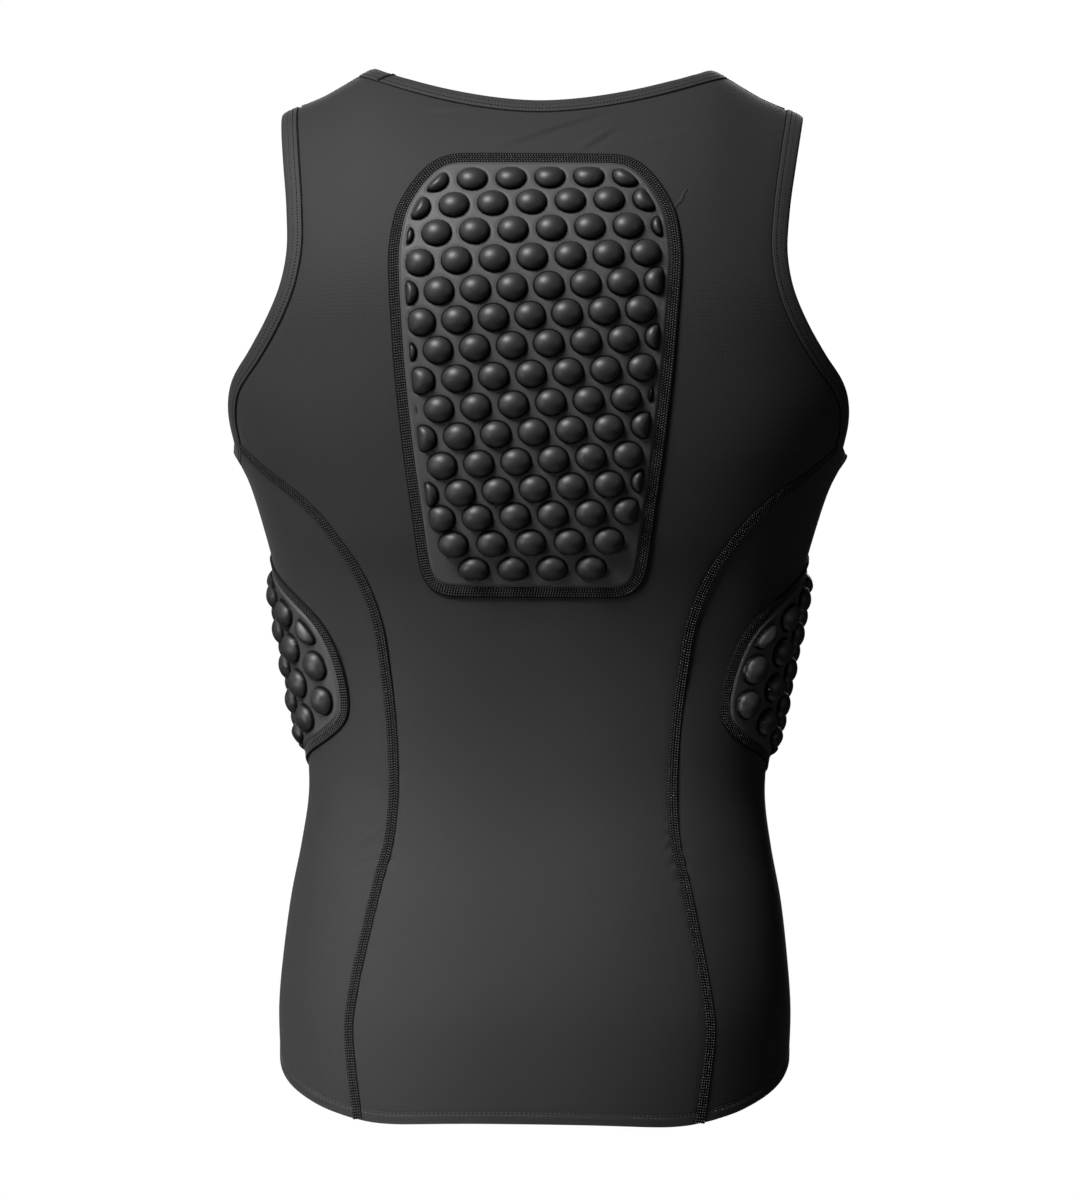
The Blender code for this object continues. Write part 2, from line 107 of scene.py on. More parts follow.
BODY = table(
    "height half_width back_depth front_depth",
    (0, 163.5, 110, 103),
    (45, 165.0, 113, 105),
    (80, 166.0, 112, 105),
    (115, 163.5, 105, 104),
    (150, 159.0, 95, 104),
    (185, 152.5, 84, 104),
    (220, 148.0, 77, 104),
    (255, 150.5, 75.5, 105),
    (290, 156.0, 78, 108),
    (325, 163.0, 84, 112),
    (355, 170.0, 92, 115),
    (385, 178.0, 103, 118),
    (415, 187.6, 111, 121),
    (440, 198.4, 115.5, 122),
    (465, 205.8, 118.5, 122),
    (500, 208.0, 121, 121),
    (540, 208.0, 121, 118),
    (600, 206.0, 117, 112),
    (690, 203.0, 107, 102),
)
SIDE_SEAM = table(
    "height across",
    (0, 107.0),
    (14, 108.6),
    (45, 112.7),
    (72, 114.8),
    (101, 111.0),
    (133, 104.3),
    (164, 97.5),
    (186, 91.9),
    (206, 89.6),
    (250, 89.9),
    (298, 95.0),
    (332, 101.2),
    (364, 115.1),
    (380, 126.3),
    (397, 140.3),
    (411, 156.0),
    (425, 175.0),
    (440, 191.8),
)
ARMHOLE = table(
    "height back_across front_across",
    (440, 191.8, 191.8),
    (459, 195.0, 192.9),
    (476, 192.0, 186.5),
    (493, 179.6, 174.0),
    (514, 166.4, 160.0),
    (539, 155.4, 149.5),
    (563, 150.7, 144.0),
    (593, 151.6, 145.0),
    (625, 155.3, 151.0),
    (660, 160.0, 160.0),
)
# The hem's height, by how far back its edge lies: -1 at the middle of the front, 1 at the back's
HEM = table(
    "share_back height",
    (-1.0, 55.0),
    (-0.65, 55.0),
    (-0.35, 53.8),
    (-0.15, 50.6),
    (0.0, 47.5),
    (0.15, 42.8),
    (0.36, 33.4),
    (0.56, 24.2),
    (0.71, 17.0),
    (0.89, 10.9),
    (1.0, 12.9),
)
HEM_GUESS = 40.0
# How far out the neck reaches along the top edge of a panel
NECK_SHARE_OF_TOP = 6 / 9

# The pads: their outlines and the domes' sizes are as in the solids, whose rows of domes are even
BACK_PAD = table(
    "height half_width",
    (345, 58.0),
    (348, 65.0),
    (355, 70.5),
    (367, 73.0),
    (391, 76.0),
    (415, 79.5),
    (441, 83.0),
    (492, 88.5),
    (540, 92.0),
    (563, 93.0),
    (589, 89.0),
    (608, 78.0),
    (619, 68.0),
    (625, 57.0),
)
RIB_PAD = table(
    "behind_side top bottom",
    (-82, 338, 270),
    (-76, 358, 248),
    (-60, 373, 234),
    (-35, 378, 229),
    (0, 370, 236),
    (25, 358, 244),
    (45, 345, 251),
    (60, 331, 260),
    (66, 318, 266),
    (69, 300, 280),
)
BACK_PAD_BORDER = 6.6
BACK_DOME_ROW_STEP = 18.1
BACK_DOME_REACH = 5
BACK_DOME_TOP_MARGIN = 17.5
# The rows of domes from the top down: how far each lies under an even step and to one side,
# its pitch, how far it slopes, and the last step that has a dome
DOME_ROWS = table(
    "drop side pitch slope reach",
    (1.3, 3.6, 24.4, -0.035, 5),
    (0.9, 2.5, 24.3, -0.045, 5),
    (1.1, 1.6, 24.0, -0.045, 5),
    (1.2, 1.2, 23.7, -0.050, 5),
    (1.5, 2.0, 22.9, -0.055, 5),
    (1.3, 2.0, 22.9, -0.065, 5),
    (1.2, 1.8, 23.1, -0.067, 5),
    (1.6, 1.2, 23.2, -0.067, 5),
    (1.9, 0.4, 23.4, -0.067, 5),
    (1.7, -0.5, 23.4, -0.067, 5),
    (1.5, -1.4, 23.3, -0.067, 5),
    (1.1, -1.2, 23.3, -0.067, 5),
    (0.0, -0.8, 23.6, -0.050, 5),
    (-0.3, 1.2, 24.4, -0.035, 2),
    (-0.6, 0.3, 24.6, -0.025, 1.5),
)
RIB_PAD_BORDER = 5.9
RIB_DOME_PITCH = 22.9
RIB_DOME_COLUMN_STEP = 21.0
RIB_DOME_FIRST_COLUMN = 49.0
RIB_DOME_COLUMNS = 7
RIB_DOME_LEVEL = 300.0
RIB_DOME_REACH = 4
BACK_DOME = (9.6, 8.6)
RIB_DOME = (9.3, 9.5)
# Where a dome is cut off inside the border, and how round that cut is
DOME_CUT_START = 4.6
DOME_CUT_ROUND = 1.3
DOME_FULLNESS = 0.56
FOOT_DEPTH = 0.35
FOOT_WIDTH = 0.55
PAD_INNER_STEP = 4
PAD_CROWN = 1.8
PAD_CROWN_REACH = 20.0
PAD_GROUND = 2.1
PAD_STANDOFF = 0.4
PAD_BORDER_WALL = 0.8
PAD_EDGE_ROUND = 1.4
PAD_EDGE_RISE = 2.2
PAD_INNER_SHARE = 0.6
# Points across and up each pad, and how far its corners are rounded
BACK_PAD_GRID = (212, 320)
RIB_PAD_GRID = (160, 164)
BACK_PAD_ROUNDING = 7
RIB_PAD_ROUNDING = 6
DOME_DRAW = 0.55

# A loose end of thread beside the back pad: its places, how far it stands off, and its section
STRAY_THREAD = table(
    "across height off",
    (-86.0, 588.5, 0.4),
    (-87.2, 591.0, 0.9),
    (-88.6, 593.5, 1.2),
    (-90.8, 596.0, 1.4),
    (-92.0, 598.5, 1.3),
    (-93.2, 601.5, 1.0),
    (-95.2, 603.5, 0.6),
)
STRAY_SECTION = table("out up", (-0.22, 0.0), (0.0, 0.22), (0.22, 0.0), (0.0, -0.22))

# How finely the form is read and meshed
SECTION_STEP = 2.0
RING_SAMPLES = 121
EVEN_SAMPLES = 480
SETTLE_ROUNDS = 14
NORMAL_STEP = 0.05
PANEL_COLUMNS = 75
SIDE_COLUMNS = 100
LOWER_STOPS = (0, 0.03, 0.25, 0.47, 1)
LOWER_COUNTS = (14, 15, 62, 42)
BLADE_ROWS = 16
CHEST_ROWS = 6
ROLL_STOPS = (0, 0.5, 1)
ROLL_COUNTS = (20, 50)
SHARP_ANGLE = math.radians(50)
PATH_SAMPLES = 400
SHOULDER_SAMPLES = 30
OUTLINE_STEP = 1.0
LINE_STEP = 2.0
HEM_ROUNDING = 2
# Where the curved seams end, from the hem and the underarm, and the shoulder's, from the neck and the tip
SEAM_ENDS = (0.3, -1.0)
SHOULDER_ENDS = (1.5, 0.5)

# The cloth's relief, outwards. Long shallow waves: turns for each metre, their starts and heights
WAVES = table(
    "along_x along_y along_z start height",
    (7.0, 3.0, 9.0, 0.10, 0.10),
    (-9.0, 4.0, 6.5, 0.45, 0.09),
    (3.5, -7.0, 12.5, 0.80, 0.08),
    (12.0, 6.0, -4.0, 0.25, 0.06),
)
# Creases that tension pulls in the cloth, from one place to another
CREASES = table(
    "behind from_x from_z to_x to_z width height",
    (1, 27, 631, -44, 656, 2.0, 1.15),
    (1, -26, 629, -50, 645, 1.9, 0.95),
    (1, 72, 655, 44, 658, 1.7, 0.85),
    (1, -96, 640, -60, 633, 2.6, 0.30),
    (1, 92, 200, 112, 186, 2.2, 0.55),
    (1, 97, 187, 116, 172, 1.9, 0.42),
    (1, 100, 175, 118, 164, 2.4, 0.50),
    (1, 102, 163, 117, 155, 2.1, 0.28),
    (1, -86, 199, -106, 187, 2.0, 0.45),
    (1, -90, 187, -112, 173, 2.4, 0.60),
    (1, -95, 176, -116, 160, 1.9, 0.45),
    (1, -98, 160, -113, 148, 2.2, 0.35),
    (1, 120, 360, 150, 340, 4.0, 0.40),
    (1, -118, 358, -148, 337, 4.0, 0.40),
    (0, 34, 563, -14, 578, 2.4, 0.45),
    (0, -12, 560, -52, 574, 2.2, 0.40),
    (0, 70, 590, 30, 575, 2.6, 0.30),
    (0, 96, 190, 113, 178, 2.3, 0.50),
    (0, 98, 178, 112, 166, 2.3, 0.40),
    (0, -94, 192, -110, 178, 2.3, 0.50),
    (0, -97, 179, -112, 166, 2.4, 0.42),
    (0, 150, 470, 112, 452, 3.6, 0.45),
    (0, -150, 474, -110, 454, 3.6, 0.45),
)
# Broad hollows where the cloth bridges between a seam and a pad
HOLLOWS = table(
    "x y z radius depth",
    (116, 78, 345, 26, 1.1),
    (112, 68, 300, 24, 1.0),
    (118, -92, 335, 26, 0.8),
    (0, 72, 200, 40, 0.9),
    (0, 96, 330, 22, 0.7),
)

# The folded strip round an opening: out from the cut edge, and up from the cloth
BINDING_SECTION = table(
    "out up",
    (-1.1, 0.15),
    (-1.1, 0.62),
    (-0.6, 0.86),
    (0.9, 0.80),
    (2.4, 0.86),
    (5.0, 1.02),
    (7.8, 0.84),
    (9.4, 0.42),
    (10.2, -0.30),
    (10.3, -0.85),
    (9.9, -1.50),
    (8.8, -1.95),
    (5.0, -2.40),
    (1.0, -2.55),
    (-1.1, -2.45),
    (-1.1, -1.70),
    (0.35, -1.68),
    (0.35, 0.13),
)
# Painted shadow: a thin near-black strip on the cloth beside each binding, out from the cut edge and up
# from the cloth
PAINTED_SHADOW_SECTION = table("out up", (-2.0, 0.02), (-1.9, 0.16), (-1.15, 0.16), (-1.15, 0.02))
BINDING_STEP = 1.2
BINDING_ROWS = (1.5, 4.9)
BINDING_STITCH_TOP = 0.9
NECK_JOIN = 103.0
NECK_JOIN_SLANT = 0.35
NECK_JOIN_WIDTH = 0.8
NECK_JOIN_DEPTH = 0.45
JOIN_CORNERS = (2, 10)
JOIN_BOW = 0.5
JOIN_BOW_STEP = 1.7
JOIN_MIDDLE = 4.0
ARMHOLE_ROUNDING = 2
NECK_ROUNDING = 1

# The mat of threads along a flat seam: to one side, and up from the cloth
TAPE_SECTION = table(
    "out up",
    (-3.4, 0.05),
    (-3.4, 0.25),
    (-3.0, 0.42),
    (-1.9, 0.42),
    (-1.65, 0.20),
    (-1.4, 0.42),
    (-0.45, 0.42),
    (0.0, 0.06),
    (0.45, 0.42),
    (1.4, 0.42),
    (1.65, 0.20),
    (1.9, 0.42),
    (3.0, 0.42),
    (3.4, 0.25),
    (3.4, 0.05),
)
# The same mat over a pad's border, by shares of half the border's width
BORDER_SECTION = table(
    "out up",
    (-1.14, 0.05),
    (-1.14, 1.10),
    (-0.98, 1.55),
    (-0.60, 1.55),
    (-0.50, 1.35),
    (-0.40, 1.55),
    (-0.12, 1.55),
    (0.0, 1.28),
    (0.12, 1.55),
    (0.40, 1.55),
    (0.50, 1.35),
    (0.60, 1.55),
    (0.90, 1.55),
    (1.04, 1.30),
    (1.04, 0.90),
)
BORDER_ROWS = (-0.62, -0.14, 0.32, 0.78)
BORDER_TOP = 1.52
TAPE_ROWS = (-2.45, -0.92, 0.92, 2.45)
TAPE_TOP = 0.40
TAPE_STEP = 2.5
# A rung of thread in a mat: its length, width and height, and how far it leans
RUNG = (1.3, 0.78, 0.62)
RUNG_LEAN = math.radians(80)
STITCH_UNEVENNESS = 0.12
HEM_FOLD = 6.5
HEM_FOLD_ROWS = (5.6, 7.2)
# The turned hem: how far under the fold its step lies, how soft and high that is, and the groove above
HEM_STEP_BELOW = 0.6
HEM_STEP_SOFTNESS = 0.5
HEM_STEP_HEIGHT = 0.28
HEM_GROOVE_DEPTH = 0.30
HEM_GROOVE_WIDTH = 0.9

# Stitches of the other rows: their pitch, length, width and height
BINDING_STITCH = (2.2, 1.4, 0.85, 0.42)
JOIN_STITCH = (0.5, 1.2, 3.2, 1.1)
HEM_STITCH = (2.8, 2.0, 0.36, 0.30)
HEM_STITCH_TOP = 0.12
STITCH_SEED = 7

# How a crease fades towards its ends, and the groove beside its ridge, by its height and its width
CREASE_FADE = 0.7
GROOVE_SHARE = 0.55
GROOVE_OFFSET = 1.6
# Puckers along a curved seam: their period, slant and wander, and their strength away from and at the waist
PUCKER_PERIOD = 9.0
PUCKER_SLANT = 0.7
PUCKER_WANDER = 2.5
PUCKER_WANDER_STEP = 17.0
PUCKER_REACH = 7.5
PUCKER_HEIGHT = 0.42
PUCKER_ELSEWHERE = 0.22
PUCKER_AT_WAIST = 0.9
PUCKER_WAIST = 178.0
PUCKER_WAIST_REACH = 34.0
SEAM_DRAW = 0.45
SEAM_DRAW_REACH = 4.5
UNDERARM_SWELL = 0.7
UNDERARM_SWELL_REACH = 7.0

# Values that every cloth shares
BAND_DISTORTION = 0.6
GRAIN_DETAIL = 2.0
CLOTH_IOR = 1.5
SHEEN_ROUGHNESS = 0.45
# Painted shade in a thin dark line round each dome's foot, where the cover tucks into a fold: its middle,
# its narrow and its full reach, and its shade
FOOT_PAINTED_SHADE_MIDDLE = -0.1
FOOT_PAINTED_SHADE_NARROW = 0.15
FOOT_PAINTED_SHADE_WIDE = 1.0
FOOT_PAINTED_SHADE_LEVEL = 0.12
# The domes' cover is painted darker, as painted shade, and the ground between them lighter, as painted
# light; the domes also shine more than the ground, which is more matt
DOME_PAINTED_SHADE = 0.68
GROUND_PAINTED_LIGHT = 1.28
GROUND_MATT = 0.14
DOME_BLEND = 0.5

# The stage, in metres
IMAGE_HEIGHT = 0.78
SENSOR = 36.0
CAMERA_TURN = math.radians(2.2)
CAMERA_ROLL = math.radians(0.5)
AIM = Vector((0.0, 0.0, -0.327))
HIP_AIM = Vector((0.1, 0.1, -0.6))
HIP_SPREAD = math.radians(24)
# Each light: its place from the aim, its size, its power by the key's, and where else it looks
LIGHTS = (
    ("key_light", (1.2, 1.4, 1.75), 0.9, 1.0),
    ("hip_light", (1.5, 1.2, -0.25), 0.4, 0.006, HIP_AIM, HIP_SPREAD),
    ("fill_light", (-2.2, 1.6, 0.4), 1.6, 0.04),
    ("left_light", (2.1, 1.2, -0.1), 1.2, 0.05),
    ("front_light", (0.0, -2.2, 0.8), 1.5, 0.4),
)
FLOOR_LEVEL = -2.4
FLOOR_REACH = 0.95
FLOOR_ROUGHNESS = 0.9
SURROUND_LIGHT = 0.011


# Colour

def linear(colour):
    """An sRGB hex colour as linear red, green, blue and alpha."""
    parts = [int(colour[i:i + 2], 16) / 255 for i in (1, 3, 5)]
    return (*(p / 12.92 if p <= 0.04045 else ((p + 0.055) / 1.055) ** 2.4 for p in parts), 1.0)


# The form under the cloth, for arrays of places

def smooth(columns, name, at, key="height"):
    """One column of a table at any place, on a smooth curve through its rows."""
    knots = columns[key]
    values = columns[name]
    slopes = np.gradient(values, knots)
    at = np.clip(at, knots[0], knots[-1])
    low = np.clip(np.searchsorted(knots, at, side="right") - 1, 0, len(knots) - 2)
    span = knots[low + 1] - knots[low]
    part = (at - knots[low]) / span
    rise = part * part * (3 - 2 * part)
    leave = part * (1 - part) ** 2 * span
    arrive = part * part * (1 - part) * span
    return (
        values[low] * (1 - rise)
        + values[low + 1] * rise
        + slopes[low] * leave
        - slopes[low + 1] * arrive
    )


def shoulder_line(across):
    """The height of the shoulder line above a place across the body."""
    return smooth(SHOULDER, "height", abs(across), key="across")


def depth_at(across, height, behind):
    """How far the cloth lies behind the shoulder seams, or in front of them."""
    start = BACK_ROLL_START if behind else FRONT_ROLL_START
    half = smooth(BODY, "half_width", height)
    depth = smooth(BODY, "back_depth" if behind else "front_depth", height)
    section = np.maximum(0, 1 - (abs(across) / half) ** SECTION_ROUNDNESS)
    rolled = np.maximum(0, (height - start) / (shoulder_line(across) - start))
    return depth * section ** (1 / SECTION_ROUNDNESS) * np.sqrt(np.maximum(0, 1 - rolled ** 2))


def inside_by(points):
    """Above 0 inside the form, 0 on the cloth and below 0 outside it."""
    x, y, z = points[..., 0], points[..., 1], points[..., 2]
    behind = y >= 0
    half = smooth(BODY, "half_width", z)
    depth = np.where(behind, smooth(BODY, "back_depth", z), smooth(BODY, "front_depth", z))
    start = np.where(behind, BACK_ROLL_START, FRONT_ROLL_START)
    section = np.maximum(0, 1 - (abs(x) / half) ** SECTION_ROUNDNESS)
    rolled = np.maximum(0, (z - start) / (shoulder_line(x) - start))
    return (1 - rolled ** 2) * section ** (2 / SECTION_ROUNDNESS) - (y / depth) ** 2


def outward(points):
    """The direction straight out of the cloth at each point on it."""
    points = np.asarray(points, float)
    steps = np.eye(3) * NORMAL_STEP
    slope = np.stack([inside_by(points - s) - inside_by(points + s) for s in steps], axis=-1)
    return slope / np.linalg.norm(slope, axis=-1, keepdims=True)


@functools.lru_cache(maxsize=None)
def sections():
    """Level sections up the form, evenly spaced: each one's points, and its runs.

    The runs are those to the side, the whole one, and those to the back's and the front's edge.
    """
    turn = np.linspace(0, math.pi, 2 * RING_SAMPLES - 1)
    corner = RING_SAMPLES - 1
    shapes, sides, wholes, back_edges, front_edges = [], [], [], [], []
    for height in np.arange(0, NECK_CREST + 0.1, SECTION_STEP):
        half = smooth(BODY, "half_width", height)
        across = half * np.abs(np.sin(turn)) ** (2 / SECTION_ROUNDNESS)
        across[corner] = half
        behind = depth_at(across[:corner + 1], height, True)
        before = -depth_at(across[corner + 1:], height, False)
        depth = np.concatenate([behind, before])
        run = np.concatenate([[0], np.cumsum(np.hypot(np.diff(across), np.diff(depth)))])
        even = np.concatenate([
            np.linspace(0, run[corner], EVEN_SAMPLES, endpoint=False),
            np.linspace(run[corner], run[-1], EVEN_SAMPLES + 1),
        ])
        shapes.append(np.stack([np.interp(even, run, across), np.interp(even, run, depth)], axis=1))
        sides.append(run[corner])
        wholes.append(run[-1])
        back, front = edge_across(height, True), edge_across(height, False)
        back_edges.append(np.interp(back, across[:corner + 1], run[:corner + 1]))
        front_edges.append(np.interp(-front, -across[corner:], run[corner:]))
    return tuple(np.array(a) for a in (shapes, sides, wholes, back_edges, front_edges))


def along_heights(values, height):
    """A value of each level section, read at any height."""
    return np.interp(height, np.arange(len(values)) * SECTION_STEP, values)


def side_run(height):
    """The length from the middle of the back to the middle of the side."""
    return along_heights(sections()[1], height)


def edge_run(height, behind):
    """The length from the middle of the back to the edge of the back or the front."""
    return along_heights(sections()[3 if behind else 4], height)


def on_section(height, run):
    """The points at signed lengths along level sections, from the middle of the back round +X."""
    height, run = np.broadcast_arrays(np.asarray(height, float), np.asarray(run, float))
    shapes, sides, wholes = sections()[:3]
    level = np.clip(height / SECTION_STEP, 0, len(shapes) - 1.001)
    low = level.astype(int)
    up = level - low
    side = sides[low] * (1 - up) + sides[low + 1] * up
    whole = wholes[low] * (1 - up) + wholes[low + 1] * up
    length = abs(run)
    share = np.where(length < side, length / side, 1 + (length - side) / (whole - side))
    place = np.clip(share * EVEN_SAMPLES, 0, 2 * EVEN_SAMPLES - 1e-6)
    column = place.astype(int)
    beside = (place - column)[..., None]
    lower = shapes[low, column] * (1 - beside) + shapes[low, column + 1] * beside
    upper = shapes[low + 1, column] * (1 - beside) + shapes[low + 1, column + 1] * beside
    flat = lower * (1 - up[..., None]) + upper * up[..., None]
    return np.stack([np.where(run < 0, -1, 1) * flat[..., 0], flat[..., 1], height], axis=-1)


def edge_across(height, behind):
    """The half width of the back or the front: to the side seam, or to the armhole above it."""
    column = "back_across" if behind else "front_across"
    return np.where(
        np.asarray(height) <= UNDERARM,
        smooth(SIDE_SEAM, "across", height),
        smooth(ARMHOLE, column, height),
    )


def hem_height(points):
    """The height of the hem at points near it."""
    y, z = points[..., 1], points[..., 2]
    depth = np.where(y >= 0, smooth(BODY, "back_depth", z), smooth(BODY, "front_depth", z))
    return smooth(HEM, "height", y / depth, key="share_back")


# Panels as grids of points, rows from the hem up

def body_place(part, height, behind):
    """The points at shares of the half width of the back or the front, -1 to 1."""
    edge = edge_run(height, behind)
    if behind:
        return on_section(height, part * (edge - SEAM_GAP / 2))
    middle = along_heights(sections()[2], height)
    points = on_section(height, middle - abs(part) * (middle - edge - SEAM_GAP / 2))
    points[..., 0] *= np.where(part < 0, -1, 1)
    return points


def spaced(stops, counts):
    """Shares from 0 to 1, in a number of even steps from each stop to the next."""
    parts = [np.linspace(a, b, n, endpoint=False) for a, b, n in zip(stops, stops[1:], counts)]
    return np.concatenate(parts + [[stops[-1]]])[:, None]


def lower_shares():
    """The rows of a panel below the underarm, close together at the hem and at the waist."""
    return spaced(LOWER_STOPS, LOWER_COUNTS)


def rolled_rows(part, behind):
    """The rows from the blades or the chest up to the neck and the shoulder."""
    start = BACK_ROLL_START if behind else FRONT_ROLL_START
    lowest, curve = (
        (BACK_NECK_HEIGHT, BACK_NECK_CURVE) if behind else (FRONT_NECK_HEIGHT, FRONT_NECK_CURVE)
    )
    foot_share = body_place(part, start, behind)[:, 0] / edge_across(start, behind)
    neck_share = NECK_POINT / edge_across(NECK_POINT_HEIGHT, True)
    on_neck = abs(part) < NECK_SHARE_OF_TOP - 1e-9
    beyond = (abs(part) - NECK_SHARE_OF_TOP) / (1 - NECK_SHARE_OF_TOP)
    share = np.where(
        on_neck,
        neck_share * np.sin(math.pi / 2 * part / NECK_SHARE_OF_TOP),
        np.sign(part) * (neck_share + (1 - neck_share) * beyond),
    )
    across = share * SHOULDER_TIP
    for _ in range(SETTLE_ROUNDS):
        neck = lowest + (NECK_POINT_HEIGHT - lowest) * (abs(across) / NECK_POINT) ** curve
        height = np.where(on_neck, neck, shoulder_line(across))
        across = share * edge_across(height, behind)
    turn = np.arcsin(np.minimum(1, (height - start) / (shoulder_line(across) - start)))
    up = spaced(ROLL_STOPS, ROLL_COUNTS)[1:]
    shares = foot_share + (share - foot_share) * up
    x = shares * edge_across(height, behind)
    for _ in range(SETTLE_ROUNDS):
        z = start + (shoulder_line(x) - start) * np.sin(turn * up)
        x = shares * edge_across(z, behind)
    depth = np.maximum(depth_at(x, z, behind), SEAM_GAP / 2)
    return np.stack([x, depth if behind else -depth, z], axis=-1)


@functools.lru_cache(maxsize=None)
def body_grid(behind):
    """The back's or the front's points from the hem to the top edge, and from -X to +X."""
    part = np.linspace(-1, 1, 2 * PANEL_COLUMNS + 1)
    hem = np.full(part.shape, HEM_GUESS)
    for _ in range(SETTLE_ROUNDS):
        hem = hem_height(body_place(part, hem, behind))
    lower = body_place(part, hem + (UNDERARM - hem) * lower_shares(), behind)
    start, count = (BACK_ROLL_START, BLADE_ROWS) if behind else (FRONT_ROLL_START, CHEST_ROWS)
    levels = np.linspace(UNDERARM, start, count + 1)[1:, None]
    return np.concatenate([lower, body_place(part, levels, behind), rolled_rows(part, behind)])


def side_seam(height, behind):
    """How far ahead of the middle of the side the back or the front seam lies, along the cloth."""
    gap = SEAM_GAP / 2 if behind else -SEAM_GAP / 2
    return edge_run(height, behind) + gap - side_run(height)


@functools.lru_cache(maxsize=None)
def side_grid():
    """The left side's points, rows from the hem to the underarm, columns from back to front."""
    part = np.linspace(0, 1, SIDE_COLUMNS + 1)
    hem = np.full(part.shape, HEM_GUESS)
    for _ in range(SETTLE_ROUNDS):
        ahead = side_seam(hem, True) * (1 - part) + side_seam(hem, False) * part
        hem = hem_height(on_section(hem, side_run(hem) + ahead))
    feet = np.stack([ahead, hem], axis=-1)
    ahead = side_seam(UNDERARM, True) * (1 - part) + side_seam(UNDERARM, False) * part
    dip = UNDERARM_DIP * np.sqrt(np.maximum(0, 1 - (2 * part - 1) ** 2))
    tops = np.stack([ahead, UNDERARM - dip], axis=-1)
    share = lower_shares()

    def seam(low, behind):
        height = low + (UNDERARM - low) * share
        return np.stack([side_seam(height, behind), height], axis=-1)

    back, front = seam(hem[0], True), seam(hem[-1], False)
    part, share = part[None, :, None], share[..., None]
    across = back * (1 - part) + front * part
    corners = (feet[0] * (1 - part) + feet[-1] * part) * (1 - share)
    corners = corners + (tops[0] * (1 - part) + tops[-1] * part) * share
    flat = across + feet * (1 - share) + tops * share - corners
    return on_section(flat[..., 1], side_run(flat[..., 1]) + flat[..., 0])


# Meshes

def runs(grid, axis):
    """The length run along a grid of points in one direction."""
    steps = np.linalg.norm(np.diff(grid, axis=axis), axis=-1)
    start = np.zeros_like(np.take(steps, [0], axis=axis))
    return np.concatenate([start, np.cumsum(steps, axis=axis)], axis=axis)


def grid_faces(rows, columns, round_rows=False, round_columns=False):
    """Quads over a grid of points numbered row by row, joined round where that is asked."""
    r = np.arange(rows if round_rows else rows - 1)[:, None]
    c = np.arange(columns if round_columns else columns - 1)[None, :]
    ahead, beside = (r + 1) % rows, (c + 1) % columns
    quads = [r * columns + c, r * columns + beside, ahead * columns + beside, ahead * columns + c]
    return np.stack(np.broadcast_arrays(*quads), axis=-1).reshape(-1, 4)


def grid_rim(rows, columns):
    """The numbers of a grid's outermost points, once round."""
    index = np.arange(rows * columns).reshape(rows, columns)
    return np.concatenate([index[0], index[1:, -1], index[-1, -2::-1], index[-2:0:-1, 0]])


def add_piece(name, points, faces, material, replaced=(), uv=None):
    """A closed mesh from points in millimetres, fixed to the shirt."""
    mesh = bpy.data.meshes.new(name)
    placed = (np.asarray(points).reshape(-1, 3) - (0, 0, SHOULDER_LEVEL)) * MM
    mesh.from_pydata(placed.tolist(), [], faces if isinstance(faces, list) else faces.tolist())
    shape = bmesh.new()
    shape.from_mesh(mesh)
    bmesh.ops.recalc_face_normals(shape, faces=shape.faces[:])
    shape.to_mesh(mesh)
    shape.free()
    mesh.shade_smooth()
    mesh.set_sharp_from_angle(angle=SHARP_ANGLE)
    if uv is not None:
        corners = np.empty(len(mesh.loops), np.int32)
        mesh.loops.foreach_get("vertex_index", corners)
        layer = mesh.uv_layers.new(name="along_the_cloth")
        layer.data.foreach_set("uv", (uv.reshape(-1, 2)[corners] * MM).ravel())
    return finish_piece(name, mesh, material, replaced)


def finish_piece(name, mesh, material, replaced=()):
    """An object of its own for a mesh, which rides on the shirt."""
    mesh.materials.clear()
    mesh.materials.append(material)
    made = bpy.data.objects.new(name, mesh)
    bpy.context.scene.collection.objects.link(made)
    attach(made, "root")
    if replaced:
        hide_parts(*replaced)
    return made


def add_wall(name, grid, relief, thickness, material, replaced):
    """A cloth wall over a grid of points, with its relief, in place of a plain panel."""
    rows, columns = grid.shape[:2]
    out = outward(grid)
    outer = grid + out * relief[..., None]
    inner = outer - out * thickness
    count = rows * columns
    skin = grid_faces(rows, columns)
    rim = grid_rim(rows, columns)
    ahead = np.roll(rim, -1)
    edge = np.stack([ahead, rim, rim + count, ahead + count], axis=-1)
    faces = np.concatenate([skin, skin[:, ::-1] + count, edge])
    across = runs(grid, 1)
    middle = columns // 2
    uv = np.stack(np.broadcast_arrays(
        across - across[:, middle:middle + 1],
        runs(grid, 0)[:, middle:middle + 1],
    ), axis=-1)
    points = np.concatenate([outer.reshape(-1, 3), inner.reshape(-1, 3)])
    return add_piece(name, points, faces, material, replaced, np.concatenate([uv, uv]))


def even_path(path, step, closed):
    """A line walked in even steps."""
    if closed:
        path = np.concatenate([path, path[:1]])
    run = runs(path[None], 1)[0]
    count = max(4, round(run[-1] / step))
    places = np.linspace(0, run[-1], count if closed else count + 1, endpoint=not closed)
    return np.stack([np.interp(places, run, path[:, i]) for i in range(path.shape[1])], axis=1)


def softened(path, reach):
    """A closed line with its corners rounded over a number of its steps."""
    offsets = range(-3 * reach, 3 * reach + 1)
    weights = [math.exp(-0.5 * (k / reach) ** 2) for k in offsets]
    moved = sum(np.roll(path, k, axis=0) * w for k, w in zip(offsets, weights))
    return moved / sum(weights)


def path_frame(path, closed, towards=None):
    """The directions to the side and up at each point of a line on the cloth."""
    if closed:
        along = np.roll(path, -1, axis=0) - np.roll(path, 1, axis=0)
    else:
        along = np.gradient(path, axis=0)
    up = outward(path)
    side = np.cross(along, up)
    side /= np.linalg.norm(side, axis=1, keepdims=True)
    if towards is not None and np.sum(side * (towards - path)) < 0:
        side = -side
    return side, up


